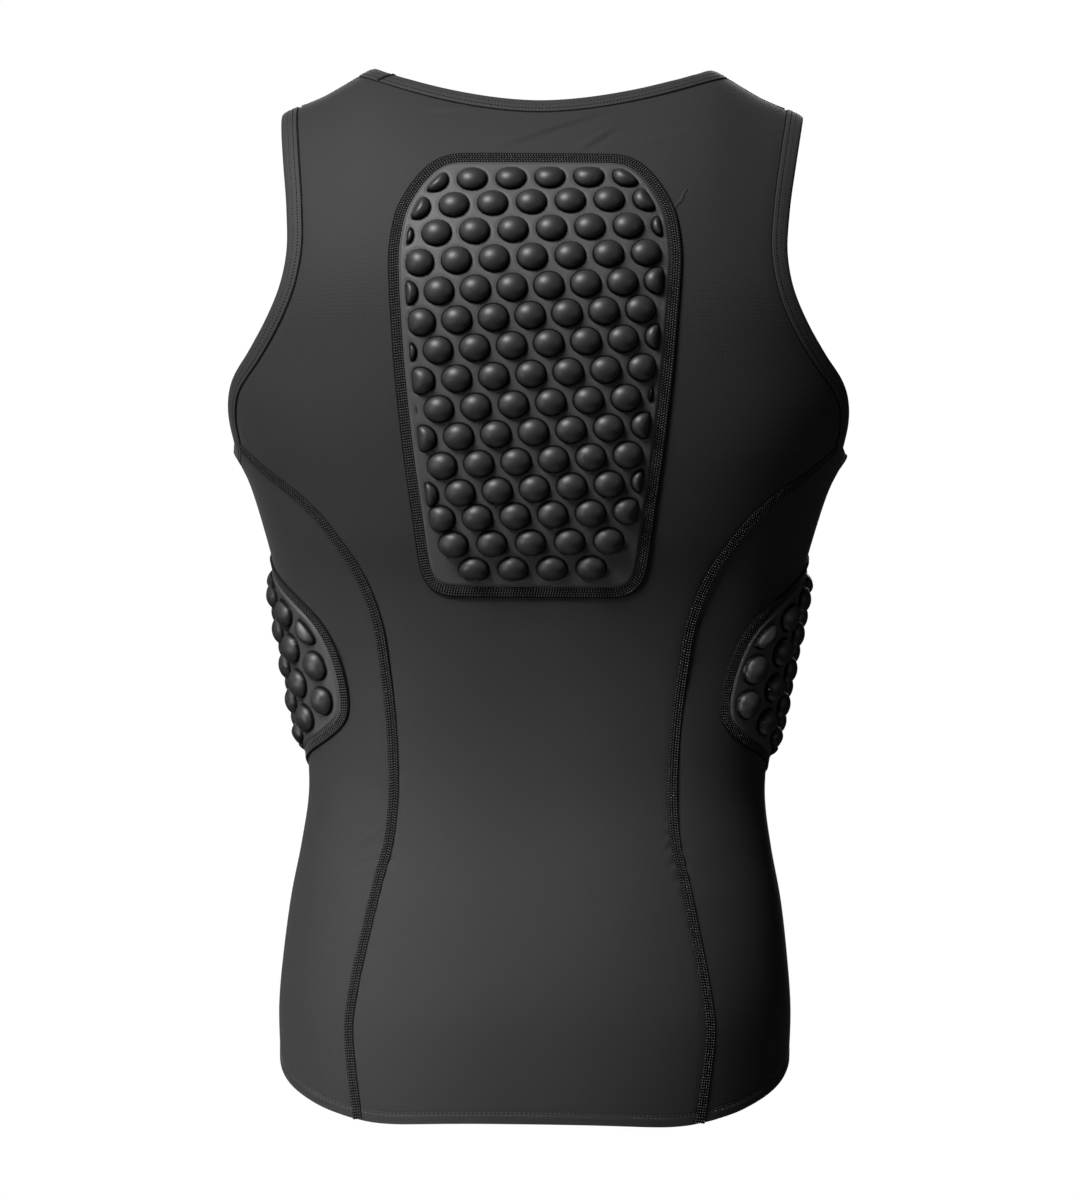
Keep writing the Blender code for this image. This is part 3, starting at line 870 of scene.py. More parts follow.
def sweep(name, path, section, closed, material, replaced=(), towards=None, lift=None):
    """A strip of even section along a line on the cloth."""
    side, up = path_frame(path, closed, towards)
    out, rise = section["out"], section["up"]
    rises = np.broadcast_to(rise, (len(path), len(rise)))
    if lift is not None:
        rises = rises + lift(path, out, rise)
    points = path[:, None] + side[:, None] * out[None, :, None] + up[:, None] * rises[..., None]
    corners = len(out)
    faces = grid_faces(len(path), corners, closed, True).tolist()
    if not closed:
        last = (len(path) - 1) * corners
        faces += [list(range(corners)), list(range(last, last + corners))]
    run = np.broadcast_to(runs(path[None], 1)[0][:, None], points.shape[:2])
    around = np.concatenate([[0], np.cumsum(np.hypot(np.diff(out), np.diff(rise)))])
    uv = np.stack(np.broadcast_arrays(run, around[None, :]), axis=-1)
    return add_piece(name, points, faces, material, replaced, uv)


# Stitches

def stitch_tree():
    """Geometry Nodes that lay a thread's stitches along lines which carry their own up direction."""
    tree = bpy.data.node_groups.get("stitch_rows")
    if tree:
        return tree
    tree = bpy.data.node_groups.new("stitch_rows", "GeometryNodeTree")
    sockets = tree.interface
    sockets.new_socket("Geometry", in_out="OUTPUT", socket_type="NodeSocketGeometry")
    sockets.new_socket("Lines", in_out="INPUT", socket_type="NodeSocketGeometry")
    for name in ("Pitch", "Length", "Width", "Height", "Turn", "Unevenness"):
        sockets.new_socket(name, in_out="INPUT", socket_type="NodeSocketFloat")
    sockets.new_socket("Thread", in_out="INPUT", socket_type="NodeSocketMaterial")
    add = functools.partial(add_node, tree)
    given = add("NodeGroupInput").outputs
    curve = add("GeometryNodeMeshToCurve", inputs={"Mesh": given["Lines"]})
    even = add(
        "GeometryNodeResampleCurve", {"mode": "LENGTH"},
        {"Curve": curve.outputs[0], "Length": given["Pitch"]},
    )
    ball = add("GeometryNodeMeshIcoSphere", inputs={"Radius": 0.5, "Subdivisions": 1})
    round_ball = add("GeometryNodeSetShadeSmooth", inputs={"Geometry": ball.outputs[0]})
    up = add("GeometryNodeInputNamedAttribute", {"data_type": "FLOAT_VECTOR"}, {"Name": "up"})
    along = add("GeometryNodeInputTangent")
    laid = add(
        "FunctionNodeAxesToRotation", {"primary_axis": "Z", "secondary_axis": "X"},
        {0: up.outputs[0], 1: along.outputs[0]},
    )
    turn = add("FunctionNodeAxisAngleToRotation", inputs={"Axis": (0, 0, 1), "Angle": given["Turn"]})
    turned = add(
        "FunctionNodeRotateRotation", {"rotation_space": "LOCAL"},
        {0: laid.outputs[0], 1: turn.outputs[0]},
    )
    least = add("ShaderNodeMath", {"operation": "SUBTRACT"}, {0: 1.0, 1: given["Unevenness"]})
    most = add("ShaderNodeMath", {"operation": "ADD"}, {0: 1.0, 1: given["Unevenness"]})
    chance = add(
        "FunctionNodeRandomValue", {"data_type": "FLOAT"},
        {2: least.outputs[0], 3: most.outputs[0], "Seed": STITCH_SEED},
    )
    size = add(
        "ShaderNodeCombineXYZ",
        inputs={"X": given["Length"], "Y": given["Width"], "Z": given["Height"]},
    )
    uneven = add(
        "ShaderNodeVectorMath", {"operation": "SCALE"},
        {0: size.outputs[0], "Scale": chance.outputs[1]},
    )
    laid_out = add("GeometryNodeInstanceOnPoints", inputs={
        "Points": even.outputs[0],
        "Instance": round_ball.outputs[0],
        "Rotation": turned.outputs[0],
        "Scale": uneven.outputs[0],
    })
    real = add("GeometryNodeRealizeInstances", inputs={"Geometry": laid_out.outputs[0]})
    dressed = add(
        "GeometryNodeSetMaterial", inputs={"Geometry": real.outputs[0], "Material": given["Thread"]},
    )
    add("NodeGroupOutput", inputs={"Geometry": dressed.outputs[0]})
    return tree


def add_stitches(name, lines, slot, material, pitch, length, width, height, turn=0.0):
    """Stitches along lines of (points, up directions, closed), in millimetres."""
    points, ups, edges = [], [], []
    for path, up, closed in lines:
        first = sum(len(p) for p in points)
        count = len(path)
        points.append(path)
        ups.append(up)
        pairs = [(first + i, first + i + 1) for i in range(count - 1)]
        edges += pairs + ([(first + count - 1, first)] if closed else [])
    mesh = bpy.data.meshes.new(name + "_lines")
    placed = (np.concatenate(points) - (0, 0, SHOULDER_LEVEL)) * MM
    mesh.from_pydata(placed.tolist(), edges, [])
    layer = mesh.attributes.new("up", "FLOAT_VECTOR", "POINT")
    layer.data.foreach_set("vector", np.concatenate(ups).astype(np.float32).ravel())
    lines_object = bpy.data.objects.new(name + "_lines", mesh)
    bpy.context.scene.collection.objects.link(lines_object)
    rule = lines_object.modifiers.new("stitches", "NODES")
    rule.node_group = stitch_tree()
    values = {
        "Pitch": pitch * MM,
        "Length": length * MM,
        "Width": width * MM,
        "Height": height * MM,
        "Turn": turn,
        "Unevenness": STITCH_UNEVENNESS,
        "Thread": material,
    }
    for item in rule.node_group.interface.items_tree:
        if item.item_type == "SOCKET" and item.in_out == "INPUT" and item.name in values:
            rule[item.identifier] = values[item.name]
    graph = bpy.context.evaluated_depsgraph_get()
    made = bpy.data.meshes.new_from_object(lines_object.evaluated_get(graph))
    if not made.polygons:
        raise RuntimeError(f"{name} has no stitches")
    bpy.data.objects.remove(lines_object)
    bpy.data.meshes.remove(mesh)
    made.name = name
    return finish_piece(name, made, material)


# Materials

def add_node(tree, kind, settings=None, inputs=None):
    """A node with its properties set, and each input given a value or another node's output."""
    made = tree.nodes.new(kind)
    for name, value in (settings or {}).items():
        setattr(made, name, value)
    for name, value in (inputs or {}).items():
        if isinstance(value, bpy.types.NodeSocket):
            tree.links.new(value, made.inputs[name])
        else:
            made.inputs[name].default_value = value
    return made


def wave_scale(period):
    """The scale of a wave texture whose bands repeat at a distance in millimetres."""
    return math.pi / 10 / (period * MM)


def noise_scale(size):
    """The scale of a noise texture whose grain is a size in millimetres."""
    return 1 / (size * MM)


def cloth_material(name, colour, roughness, gloss, sheen, bands, grain, depth, fleck):
    """A knitted or woven finish: fine bands along and across the cloth, with a grain over them.

    gloss is the shader's specular level, under its usual 0.5 where loose fibres break up the shine.
    """
    made = bpy.data.materials.get(name)
    if made:
        return made
    made = bpy.data.materials.new(name)
    made.use_nodes = True
    tree = made.node_tree
    add = functools.partial(add_node, tree)
    place = add("ShaderNodeTexCoord")
    heights = []
    for direction, period in zip("XY", bands):
        heights.append(add(
            "ShaderNodeTexWave",
            {"wave_type": "BANDS", "bands_direction": direction, "wave_profile": "SIN"},
            {"Vector": place.outputs["UV"], "Scale": wave_scale(period), "Distortion": BAND_DISTORTION},
        ).outputs["Fac"])
    noise = add("ShaderNodeTexNoise", inputs={
        "Vector": place.outputs["Object"], "Scale": noise_scale(grain), "Detail": GRAIN_DETAIL,
    }).outputs["Fac"]
    both = add("ShaderNodeMath", {"operation": "ADD"}, {0: heights[0], 1: heights[1]})
    total = add("ShaderNodeMath", {"operation": "ADD"}, {0: both.outputs[0], 1: noise})
    bump = add("ShaderNodeBump", inputs={
        "Strength": 1.0, "Distance": depth * MM, "Height": total.outputs[0],
    })
    shade = add("ShaderNodeMix", {"data_type": "RGBA"}, {
        "Factor": noise,
        6: (*(c * (1 - fleck) for c in colour), 1.0),
        7: (*(min(1, c * (1 + fleck)) for c in colour), 1.0),
    })
    shader = tree.nodes["Principled BSDF"]
    tree.links.new(bump.outputs["Normal"], shader.inputs["Normal"])
    tree.links.new(shade.outputs[2], shader.inputs["Base Color"])
    values = {
        "Roughness": roughness,
        "IOR": CLOTH_IOR,
        "Specular IOR Level": gloss,
        "Sheen Weight": sheen,
        "Sheen Roughness": SHEEN_ROUGHNESS,
    }
    for name, value in values.items():
        shader.inputs[name].default_value = value
    return made


def knit():
    """Black polyester and elastane jersey, fine and stretched: matt, with a soft satin edge.

    Its wales are 0.5 mm apart, too fine to show, so the bands are drawn at 1.3 mm.
    """
    look = bpy.context.scene.shirt_cloth
    return cloth_material(
        "black_elastane_jersey", look.colour, look.roughness, 0.25, 0.06,
        (1.3, 1.6), 1.5, 0.03, 0.10,
    )


def pad_cover():
    """Black tricot pressed over moulded foam: close and smooth, so it shines softly.

    Round each dome's foot the cover tucks into a fold, and a thin dark line of painted shade is laid there
    in its colour and its shine.
    """
    look = bpy.context.scene.shirt_pads
    made = cloth_material(
        "black_tricot_over_foam", look.colour, look.roughness, 0.5, 0.0,
        (1.0, 1.0), 1.2, 0.008, 0.05,
    )
    tree = made.node_tree
    if "painted_shade_at_a_domes_foot" in tree.nodes:
        return made
    add = functools.partial(add_node, tree)
    foot = add("ShaderNodeAttribute", {"attribute_name": "from_dome_foot"}).outputs["Fac"]

    def blend(value, low, high, least, most):
        """A smooth change from one value to another between two distances in millimetres."""
        return add("ShaderNodeMapRange", {"interpolation_type": "SMOOTHSTEP"}, {
            "Value": value, "From Min": low * MM, "From Max": high * MM, "To Min": least, "To Max": most,
        }).outputs[0]

    # Painted shade: a thin dark line in the colour and the shine round each dome's foot
    beside = add("ShaderNodeMath", {"operation": "SUBTRACT"}, {0: foot, 1: FOOT_PAINTED_SHADE_MIDDLE * MM})
    away = add("ShaderNodeMath", {"operation": "ABSOLUTE"}, {0: beside.outputs[0]})
    foot_painted_shade = blend(away.outputs[0], FOOT_PAINTED_SHADE_NARROW, FOOT_PAINTED_SHADE_WIDE, FOOT_PAINTED_SHADE_LEVEL, 1.0)
    foot_painted_shade.node.name = "painted_shade_at_a_domes_foot"
    # Painted shade on the domes and painted light on the ground between them, with the ground also more
    # matt
    dome_and_ground_painted_light = blend(foot, -DOME_BLEND, DOME_BLEND, DOME_PAINTED_SHADE, GROUND_PAINTED_LIGHT)
    matt = blend(foot, -DOME_BLEND, DOME_BLEND, look.roughness, look.roughness + GROUND_MATT)
    both = add("ShaderNodeMath", {"operation": "MULTIPLY"}, {0: foot_painted_shade, 1: dome_and_ground_painted_light})
    given = tree.nodes["Principled BSDF"].inputs
    plain = given["Base Color"].links[0].from_socket
    shaded = add("ShaderNodeVectorMath", {"operation": "SCALE"}, {0: plain, "Scale": both.outputs[0]})
    gloss = given["Specular IOR Level"]
    shine = add("ShaderNodeMath", {"operation": "MULTIPLY"}, {0: foot_painted_shade, 1: gloss.default_value})
    tree.links.new(matt, given["Roughness"])
    tree.links.new(shaded.outputs[0], given["Base Color"])
    tree.links.new(shine.outputs[0], gloss)
    return made


def elastic():
    """Black folded elastic tape: ribbed across its width, a little lighter than the jersey."""
    look = bpy.context.scene.shirt_seams
    return cloth_material(
        "black_folded_elastic", look.tape_colour, 0.7, 0.3, 0.08,
        (1.5, 1.9), 1.0, 0.05, 0.12,
    )


def seam_threads_and_painted_shade():
    """The mat of black looper threads of a flat seam: dull, dark and uneven; its near-black colour is
    partly the threads' own and partly painted shade between them, and it also makes the painted shadow
    beside each binding.
    """
    look = bpy.context.scene.shirt_seams
    return cloth_material(
        "black_looper_threads_and_painted_shade", look.seam_colour_and_painted_shade, 0.85, 0.2, 0.0,
        (1.1, 1.3), 0.9, 0.12, 0.30,
    )


def thread():
    """Black trilobal polyester thread: its colour is lighter than the knit as painted sheen, so each stitch
    shows a small soft light.
    """
    look = bpy.context.scene.shirt_seams
    return cloth_material(
        "black_polyester_thread_and_painted_sheen", look.thread_colour_and_painted_sheen, 0.45, 0.4, 0.0,
        (1.0, 1.0), 0.8, 0.02, 0.10,
    )


# Properties that a user would change

def colour_setting(name, description, colour):
    """A colour that the panel shows."""
    return bpy.props.FloatVectorProperty(
        name=name, description=description, subtype="COLOR", min=0, max=1, default=linear(colour)[:3],
    )


def share_setting(name, description, share, most=1):
    """A share that the panel shows."""
    return bpy.props.FloatProperty(
        name=name, description=description, subtype="FACTOR", min=0, max=most, default=share,
    )


def length_setting(name, description, length, least, most):
    """A length in metres that the panel shows."""
    return bpy.props.FloatProperty(
        name=name, description=description, unit="LENGTH", subtype="DISTANCE",
        min=least, max=most, default=length,
    )


class ShirtCloth(bpy.types.PropertyGroup):
    """The knitted panels."""

    colour: colour_setting("Colour", "Colour of the knitted panels", "#2c2c2c")
    roughness: share_setting("Roughness", "How matt the knit is", 0.72)
    relief: share_setting("Relief", "How strongly waves, creases and puckers show", 1.0, 3)


class ShirtPads(bpy.types.PropertyGroup):
    """The moulded pads."""

    colour: colour_setting("Colour", "Colour of the pads' cover", "#383838")
    roughness: share_setting("Roughness", "How matt the cover is", 0.46)
    dome_height: length_setting(
        "Dome height", "How far each dome stands over its pad's ground", 0.0066, 0.002, 0.009,
    )
    fill: share_setting("Fill", "How full the padding is", 0.8)


class ShirtSeams(bpy.types.PropertyGroup):
    """Bindings, seams and thread."""

    tape_colour: colour_setting("Binding colour", "Colour of the folded bindings", "#303030")
    # Near black: partly the looper threads' own black, partly painted shade between them
    seam_colour_and_painted_shade: colour_setting("Seam colour", "Colour of the flat seams under their stitches", "#090909")
    # Lighter than the knit: the black thread with painted sheen
    thread_colour_and_painted_sheen: colour_setting("Thread colour", "Colour of the stitches", "#4e4e4e")
    pitch: length_setting(
        "Stitch pitch", "Distance from one stitch to the next", 0.0017, 0.0012, 0.005,
    )


class ShirtStage(bpy.types.PropertyGroup):
    """Camera, lights and floor."""

    distance: length_setting(
        "Camera distance", "Distance from the camera to the middle of the shirt", 3.5, 1, 10,
    )
    key: bpy.props.FloatProperty(
        name="Key light", description="Power of the large soft light",
        unit="POWER", min=0, max=1000, default=90.0,
    )
    floor_colour: colour_setting("Floor colour", "Colour of the floor", "#f2f2f2")


# Relief of the cloth

def waves(points):
    """Long shallow waves over all the cloth, in millimetres."""
    lift = np.zeros(points.shape[:-1])
    for wave in rows_of(WAVES):
        turns = (
            points[..., 0] * wave["along_x"]
            + points[..., 1] * wave["along_y"]
            + points[..., 2] * wave["along_z"]
        ) * MM + wave["start"]
        lift += wave["height"] * np.sin(2 * math.pi * turns)
    return lift


def creases(points):
    """The creases that tension pulls, each a low ridge beside a shallow groove."""
    lift = np.zeros(points.shape[:-1])
    flat = points[..., [0, 2]]
    for crease in rows_of(CREASES):
        start = np.array([crease["from_x"], crease["from_z"]])
        line = np.array([crease["to_x"], crease["to_z"]]) - start
        length = np.hypot(*line)
        line /= length
        along = (flat - start) @ line
        beside = (flat - start) @ np.array([-line[1], line[0]]) / crease["width"]
        ends = np.clip(along / length, 0, 1)
        fade = np.sin(math.pi * ends) ** CREASE_FADE
        ridge = np.exp(-beside ** 2) - GROOVE_SHARE * np.exp(-(beside - GROOVE_OFFSET) ** 2)
        same_side = (points[..., 1] >= 0) == (crease["behind"] > 0)
        lift += np.where(same_side, crease["height"] * fade * ridge, 0)
    return lift


def hollows(points):
    """The broad hollows, the same on the left and the right."""
    lift = np.zeros(points.shape[:-1])
    mirrored = np.abs(points[..., 0])
    for hollow in rows_of(HOLLOWS):
        centre = [hollow[k] for k in "xyz"]
        offset = np.stack([mirrored, points[..., 1], points[..., 2]], axis=-1) - centre
        lift -= hollow["depth"] * np.exp(-np.sum(offset ** 2, axis=-1) / hollow["radius"] ** 2)
    return lift


def puckers(points, from_seam):
    """The cloth drawn in at a seam, with small slanting puckers that are deepest at the waist."""
    height = points[..., 2]
    wander = PUCKER_WANDER * np.sin(height / PUCKER_WANDER_STEP)
    waist = np.exp(-((height - PUCKER_WAIST) / PUCKER_WAIST_REACH) ** 2)
    strength = PUCKER_HEIGHT * (PUCKER_ELSEWHERE + PUCKER_AT_WAIST * waist)
    strength = strength * np.exp(-((from_seam / PUCKER_REACH) ** 2))
    slanted = height + PUCKER_SLANT * from_seam + wander
    lift = strength * np.sin(2 * math.pi * slanted / PUCKER_PERIOD)
    return lift - SEAM_DRAW * np.exp(-((from_seam / SEAM_DRAW_REACH) ** 2))


def hem_fold(grid):
    """The hem turned up inside: a double edge with a shallow line above it."""
    above = grid[..., 2] - grid[:1, :, 2]
    step = HEM_STEP_HEIGHT / (1 + np.exp((above - HEM_FOLD + HEM_STEP_BELOW) / HEM_STEP_SOFTNESS))
    return step - HEM_GROOVE_DEPTH * np.exp(-(((above - HEM_FOLD) / HEM_GROOVE_WIDTH) ** 2))


def panel_relief(grid):
    """All the relief of one panel."""
    across = runs(grid, 1)
    from_seam = np.minimum(across, across[:, -1:] - across)
    amount = bpy.context.scene.shirt_cloth.relief
    form = waves(grid) + creases(grid) + hollows(grid) + puckers(grid, from_seam)
    return form * amount + hem_fold(grid)


# Operators

class SHIRT_OT_cloth(bpy.types.Operator):
    """Makes the knitted back, front and sides"""

    bl_idname = "shirt.cloth"
    bl_label = "Knitted Panels"

    def execute(self, context):
        cloth = knit()
        for word, behind in (("back", True), ("front", False)):
            grid = body_grid(behind)
            add_wall(f"{word}_cloth", grid, panel_relief(grid), CLOTH, cloth, [f"{word}_panel"])
        for word, side in SIDES:
            grid = side_grid() * (side, 1, 1)
            down = runs(grid, 0)
            from_top = down[-1:] - down
            swell = UNDERARM_SWELL * np.exp(-((from_top / UNDERARM_SWELL_REACH) ** 2))
            relief = panel_relief(grid) + swell
            add_wall(f"side_cloth_{word}", grid, relief, CLOTH, cloth, [f"side_panel_{word}"])
        return {"FINISHED"}


def armhole_path(side):
    """The cut edges round an armhole, in even steps."""
    column = -1 if side > 0 else 0
    sides = side_grid() * (side, 1, 1)
    underarm = len(lower_shares()) - 1
    back, front = body_grid(True), body_grid(False)
    path = np.concatenate([
        [(back[underarm, column] + sides[-1, 0]) / 2],
        back[underarm + 1:-1, column],
        [(back[-1, column] + front[-1, column]) / 2],
        front[underarm + 1:-1, column][::-1],
        [(front[underarm, column] + sides[-1, -1]) / 2],
        sides[-1, 1:-1][::-1],
    ])
    return softened(even_path(path, BINDING_STEP, True), ARMHOLE_ROUNDING)


def neck_path():
    """The cut edges round the neck, in even steps."""
    back, front = body_grid(True), body_grid(False)
    count = round(PANEL_COLUMNS * NECK_SHARE_OF_TOP)
    low, high = PANEL_COLUMNS - count, PANEL_COLUMNS + count
    path = np.concatenate([
        [(back[-1, low] + front[-1, low]) / 2],
        back[-1, low + 1:high],
        [(back[-1, high] + front[-1, high]) / 2],
        front[-1, low + 1:high][::-1],
    ])
    return softened(even_path(path, BINDING_STEP, True), NECK_ROUNDING)


def join_run(path):
    """How far along the neck its binding's join lies, at the strip's middle."""
    run = runs(path[None], 1)[0]
    behind = path[:, 1] > 0
    return run[behind][np.argmin(abs(path[behind, 0] - NECK_JOIN))]


def neck_join(path, out, up):
    """The slanting join in the neck binding, as a groove in its face."""
    run = runs(path[None], 1)[0]
    away = run[:, None] - join_run(path) + NECK_JOIN_SLANT * (out[None, :] - JOIN_MIDDLE)
    return -NECK_JOIN_DEPTH * np.exp(-((away / NECK_JOIN_WIDTH) ** 2)) * (up > 0)


def join_line(path, middle):
    """The thick dark thread line of the join, from the seam over the binding's edge."""
    run = runs(path[None], 1)[0]
    side, up = path_frame(path, True, middle)
    corners = slice(*JOIN_CORNERS)
    outs, rises = BINDING_SECTION["out"][corners], BINDING_SECTION["up"][corners]
    bow = JOIN_BOW * np.sin(outs / JOIN_BOW_STEP)
    at = join_run(path) - NECK_JOIN_SLANT * (outs - JOIN_MIDDLE) + bow

    def read(values):
        return np.stack([np.interp(at, run, values[:, i]) for i in range(3)], axis=1)

    ups = read(up)
    points = read(path) + read(side) * outs[:, None] + ups * rises[:, None]
    return points, ups, False


def binding_lines(path, middle):
    """The two stitch rows on a binding, beside its seam."""
    side, up = path_frame(path, True, middle)
    return [(path + side * out + up * BINDING_STITCH_TOP, up, True) for out in BINDING_ROWS]


class SHIRT_OT_bindings(bpy.types.Operator):
    """Makes the folded bindings of the neck and the armholes, with their stitches"""

    bl_idname = "shirt.bindings"
    bl_label = "Bindings"

    def execute(self, context):
        tape, mat = elastic(), seam_threads_and_painted_shade()
        openings = [("neck", neck_path(), neck_join)]
        openings += [(f"armhole_{word}", armhole_path(side), None) for word, side in SIDES]
        for name, path, lift in openings:
            middle = path.mean(axis=0)
            node = "neck_binding" if name == "neck" else name.replace("armhole", "armhole_binding")
            sweep(
                f"{name}_tape", path, BINDING_SECTION, True, tape,
                [node], towards=middle, lift=lift,
            )
            # A painted shadow: a thin near-black strip on the cloth beside the binding's step
            sweep(f"{name}_painted_shadow", path, PAINTED_SHADOW_SECTION, True, mat, towards=middle)
            lines = binding_lines(path, middle)
            add_stitches(f"{name}_stitches", lines, "binding", mat, *BINDING_STITCH)
            if name == "neck":
                add_stitches("neck_join", [join_line(path, middle)], "binding", mat, *JOIN_STITCH)
        return {"FINISHED"}


def seam_path(side, behind):
    """The curved seam between a side and the back or the front, from the hem to the armhole."""
    hem = side_grid()[0, 0 if behind else -1][2]
    height = np.linspace(hem + SEAM_ENDS[0], UNDERARM + SEAM_ENDS[1], PATH_SAMPLES)
    path = on_section(height, edge_run(height, behind)) * (side, 1, 1)
    return even_path(path, TAPE_STEP, False)


def shoulder_path(side):
    """The seam over a shoulder, from the neck to the tip."""
    x = np.linspace(NECK_POINT + SHOULDER_ENDS[0], SHOULDER_TIP + SHOULDER_ENDS[1], SHOULDER_SAMPLES)
    path = np.stack([x * side, np.zeros_like(x), shoulder_line(x)], axis=1)
    return even_path(path, TAPE_STEP, False)


class SHIRT_OT_seams(bpy.types.Operator):
    """Makes the flat seams with their rows of stitches"""

    bl_idname = "shirt.seams"
    bl_label = "Flat Seams"

    def execute(self, context):
        mat, black = seam_threads_and_painted_shade(), thread()
        pitch = context.scene.shirt_seams.pitch / MM
        lines = []
        for word, side in SIDES:
            paths = {
                f"back_seam_{word}": seam_path(side, True),
                f"front_seam_{word}": seam_path(side, False),
                f"shoulder_seam_{word}": shoulder_path(side),
            }
            for name, path in paths.items():
                sweep(name, path, TAPE_SECTION, False, mat)
                out, up = path_frame(path, False)
                lines += [(path + out * s + up * TAPE_TOP, up, False) for s in TAPE_ROWS]
        add_stitches("seam_stitches", lines, "knit", black, pitch, *RUNG, RUNG_LEAN)
        return {"FINISHED"}


class SHIRT_OT_hem(bpy.types.Operator):
    """Makes the hem's two rows of stitches"""

    bl_idname = "shirt.hem"
    bl_label = "Hem"

    def execute(self, context):
        left, right = side_grid(), side_grid() * (-1, 1, 1)
        back, front = body_grid(True), body_grid(False)
        lines = []
        for distance in HEM_FOLD_ROWS:
            path = np.concatenate([
                above_hem(back, distance),
                above_hem(left, distance),
                above_hem(front, distance)[::-1],
                above_hem(right, distance)[::-1],
            ])
            path = softened(even_path(path, LINE_STEP, True), HEM_ROUNDING)
            up = outward(path)
            lines.append((path + up * HEM_STITCH_TOP, up, True))
        add_stitches("hem_stitches", lines, "knit", thread(), *HEM_STITCH)
        return {"FINISHED"}


def above_hem(grid, distance):
    """A panel's points at a distance above its hem."""
    heights = grid[:, :, 2] - grid[:1, :, 2]
    return np.array([
        [np.interp(distance, heights[:, column], grid[:, column, i]) for i in range(3)]
        for column in range(grid.shape[1])
    ])


# Pads

def patch(loop, across, up):
    """A grid inside a closed anticlockwise outline, blended from its four sides."""
    middle = (loop.min(axis=0) + loop.max(axis=0)) / 2
    half = (loop.max(axis=0) - loop.min(axis=0)) / 2
    corners = [int(np.argmax(((loop - middle) / half) @ np.array(s))) for s in CORNERS]
    loop = np.roll(loop, -corners[0], axis=0)
    places = [(c - corners[0]) % len(loop) for c in corners] + [len(loop)]
    closed = np.concatenate([loop, loop[:1]])
    sides = []
    for start, end, count in zip(places, places[1:], (across, up, across, up)):
        line = closed[start:end + 1]
        run = runs(line[None], 1)[0]
        at = np.linspace(0, run[-1], count + 1)
        sides.append(np.stack([np.interp(at, run, line[:, i]) for i in (0, 1)], axis=1))
    bottom, right, top, left = sides[0], sides[1], sides[2][::-1], sides[3][::-1]
    s = np.linspace(0, 1, across + 1)[None, :, None]
    t = np.linspace(0, 1, up + 1)[:, None, None]
    corner_blend = (
        (1 - s) * (1 - t) * bottom[0] + s * (1 - t) * bottom[-1]
        + (1 - s) * t * top[0] + s * t * top[-1]
    )
    edges = (1 - t) * bottom + t * top + (1 - s) * left[:, None] + s * right[:, None]
    return edges - corner_blend


def inside_distance(flat, loop):
    """How far each flat point lies from a closed outline."""
    start, step = loop, np.roll(loop, -1, axis=0) - loop
    length = np.sum(step ** 2, axis=1)
    found = []
    for row in flat:
        offset = row[:, None] - start[None]
        part = np.clip(np.sum(offset * step, axis=-1) / length, 0, 1)
        away = offset - part[..., None] * step
        found.append(np.sqrt(np.min(np.sum(away ** 2, axis=-1), axis=1)))
    return np.array(found)


def nearest_dome(flat, centres, dome):
    """Each flat point's place in its nearest dome, by shares of the dome's half width."""
    nearest = np.full(flat.shape[:2], np.inf)
    offset = np.zeros(flat.shape)
    for centre in centres:
        tried = (flat - np.array(centre)) / dome
        away = np.hypot(tried[..., 0], tried[..., 1])
        offset = np.where((away < nearest)[..., None], tried, offset)
        nearest = np.minimum(away, nearest)
    return nearest, offset


def drawn_to_domes(flat, centres, dome, reach):
    """The grid with the points nearest to a dome's foot moved onto it, so that its edge is clean."""
    away, offset = nearest_dome(flat, centres, dome)
    near = (abs(away - 1) * dome[1] < reach) & (away > 0.5)
    near[[0, -1]] = near[:, [0, -1]] = False
    share = np.where(near, 1 / np.maximum(away, 0.5) - 1, 0)
    return flat + offset * dome * share[..., None]


def pad_lift(flat, inside, centres, border, dome, dome_height):
    """How far a pad's face stands up, and how far each point lies outside the nearest dome's foot."""
    field = inside - border
    rim = PAD_BORDER_WALL * np.sqrt(1 - (1 - np.clip(inside / PAD_EDGE_ROUND, 0, 1)) ** 2)
    rise = np.clip(field / PAD_EDGE_RISE, 0, 1)
    ground = rim + (PAD_GROUND - PAD_BORDER_WALL) * rise * rise * (3 - 2 * rise)
    ground += PAD_CROWN * (1 - np.exp(-((np.maximum(field, 0) / PAD_CROWN_REACH) ** 2)))
    away = nearest_dome(flat, centres, dome)[0]
    whole = np.minimum(away - 1, 2) * dome[1] / DOME_CUT_ROUND
    edge = np.clip(DOME_CUT_START - field, -20, 20) / DOME_CUT_ROUND
    foot = DOME_CUT_ROUND * np.log(np.exp(whole) + np.exp(edge))
    share = np.clip(-foot / dome[1], 0, 1)
    cap = dome_height * (1 - (1 - share) ** 2) ** DOME_FULLNESS
    tuck = FOOT_DEPTH * np.exp(-((foot - FOOT_WIDTH) / FOOT_WIDTH) ** 2) * (foot > 0) * rise
    return ground - tuck + cap, foot


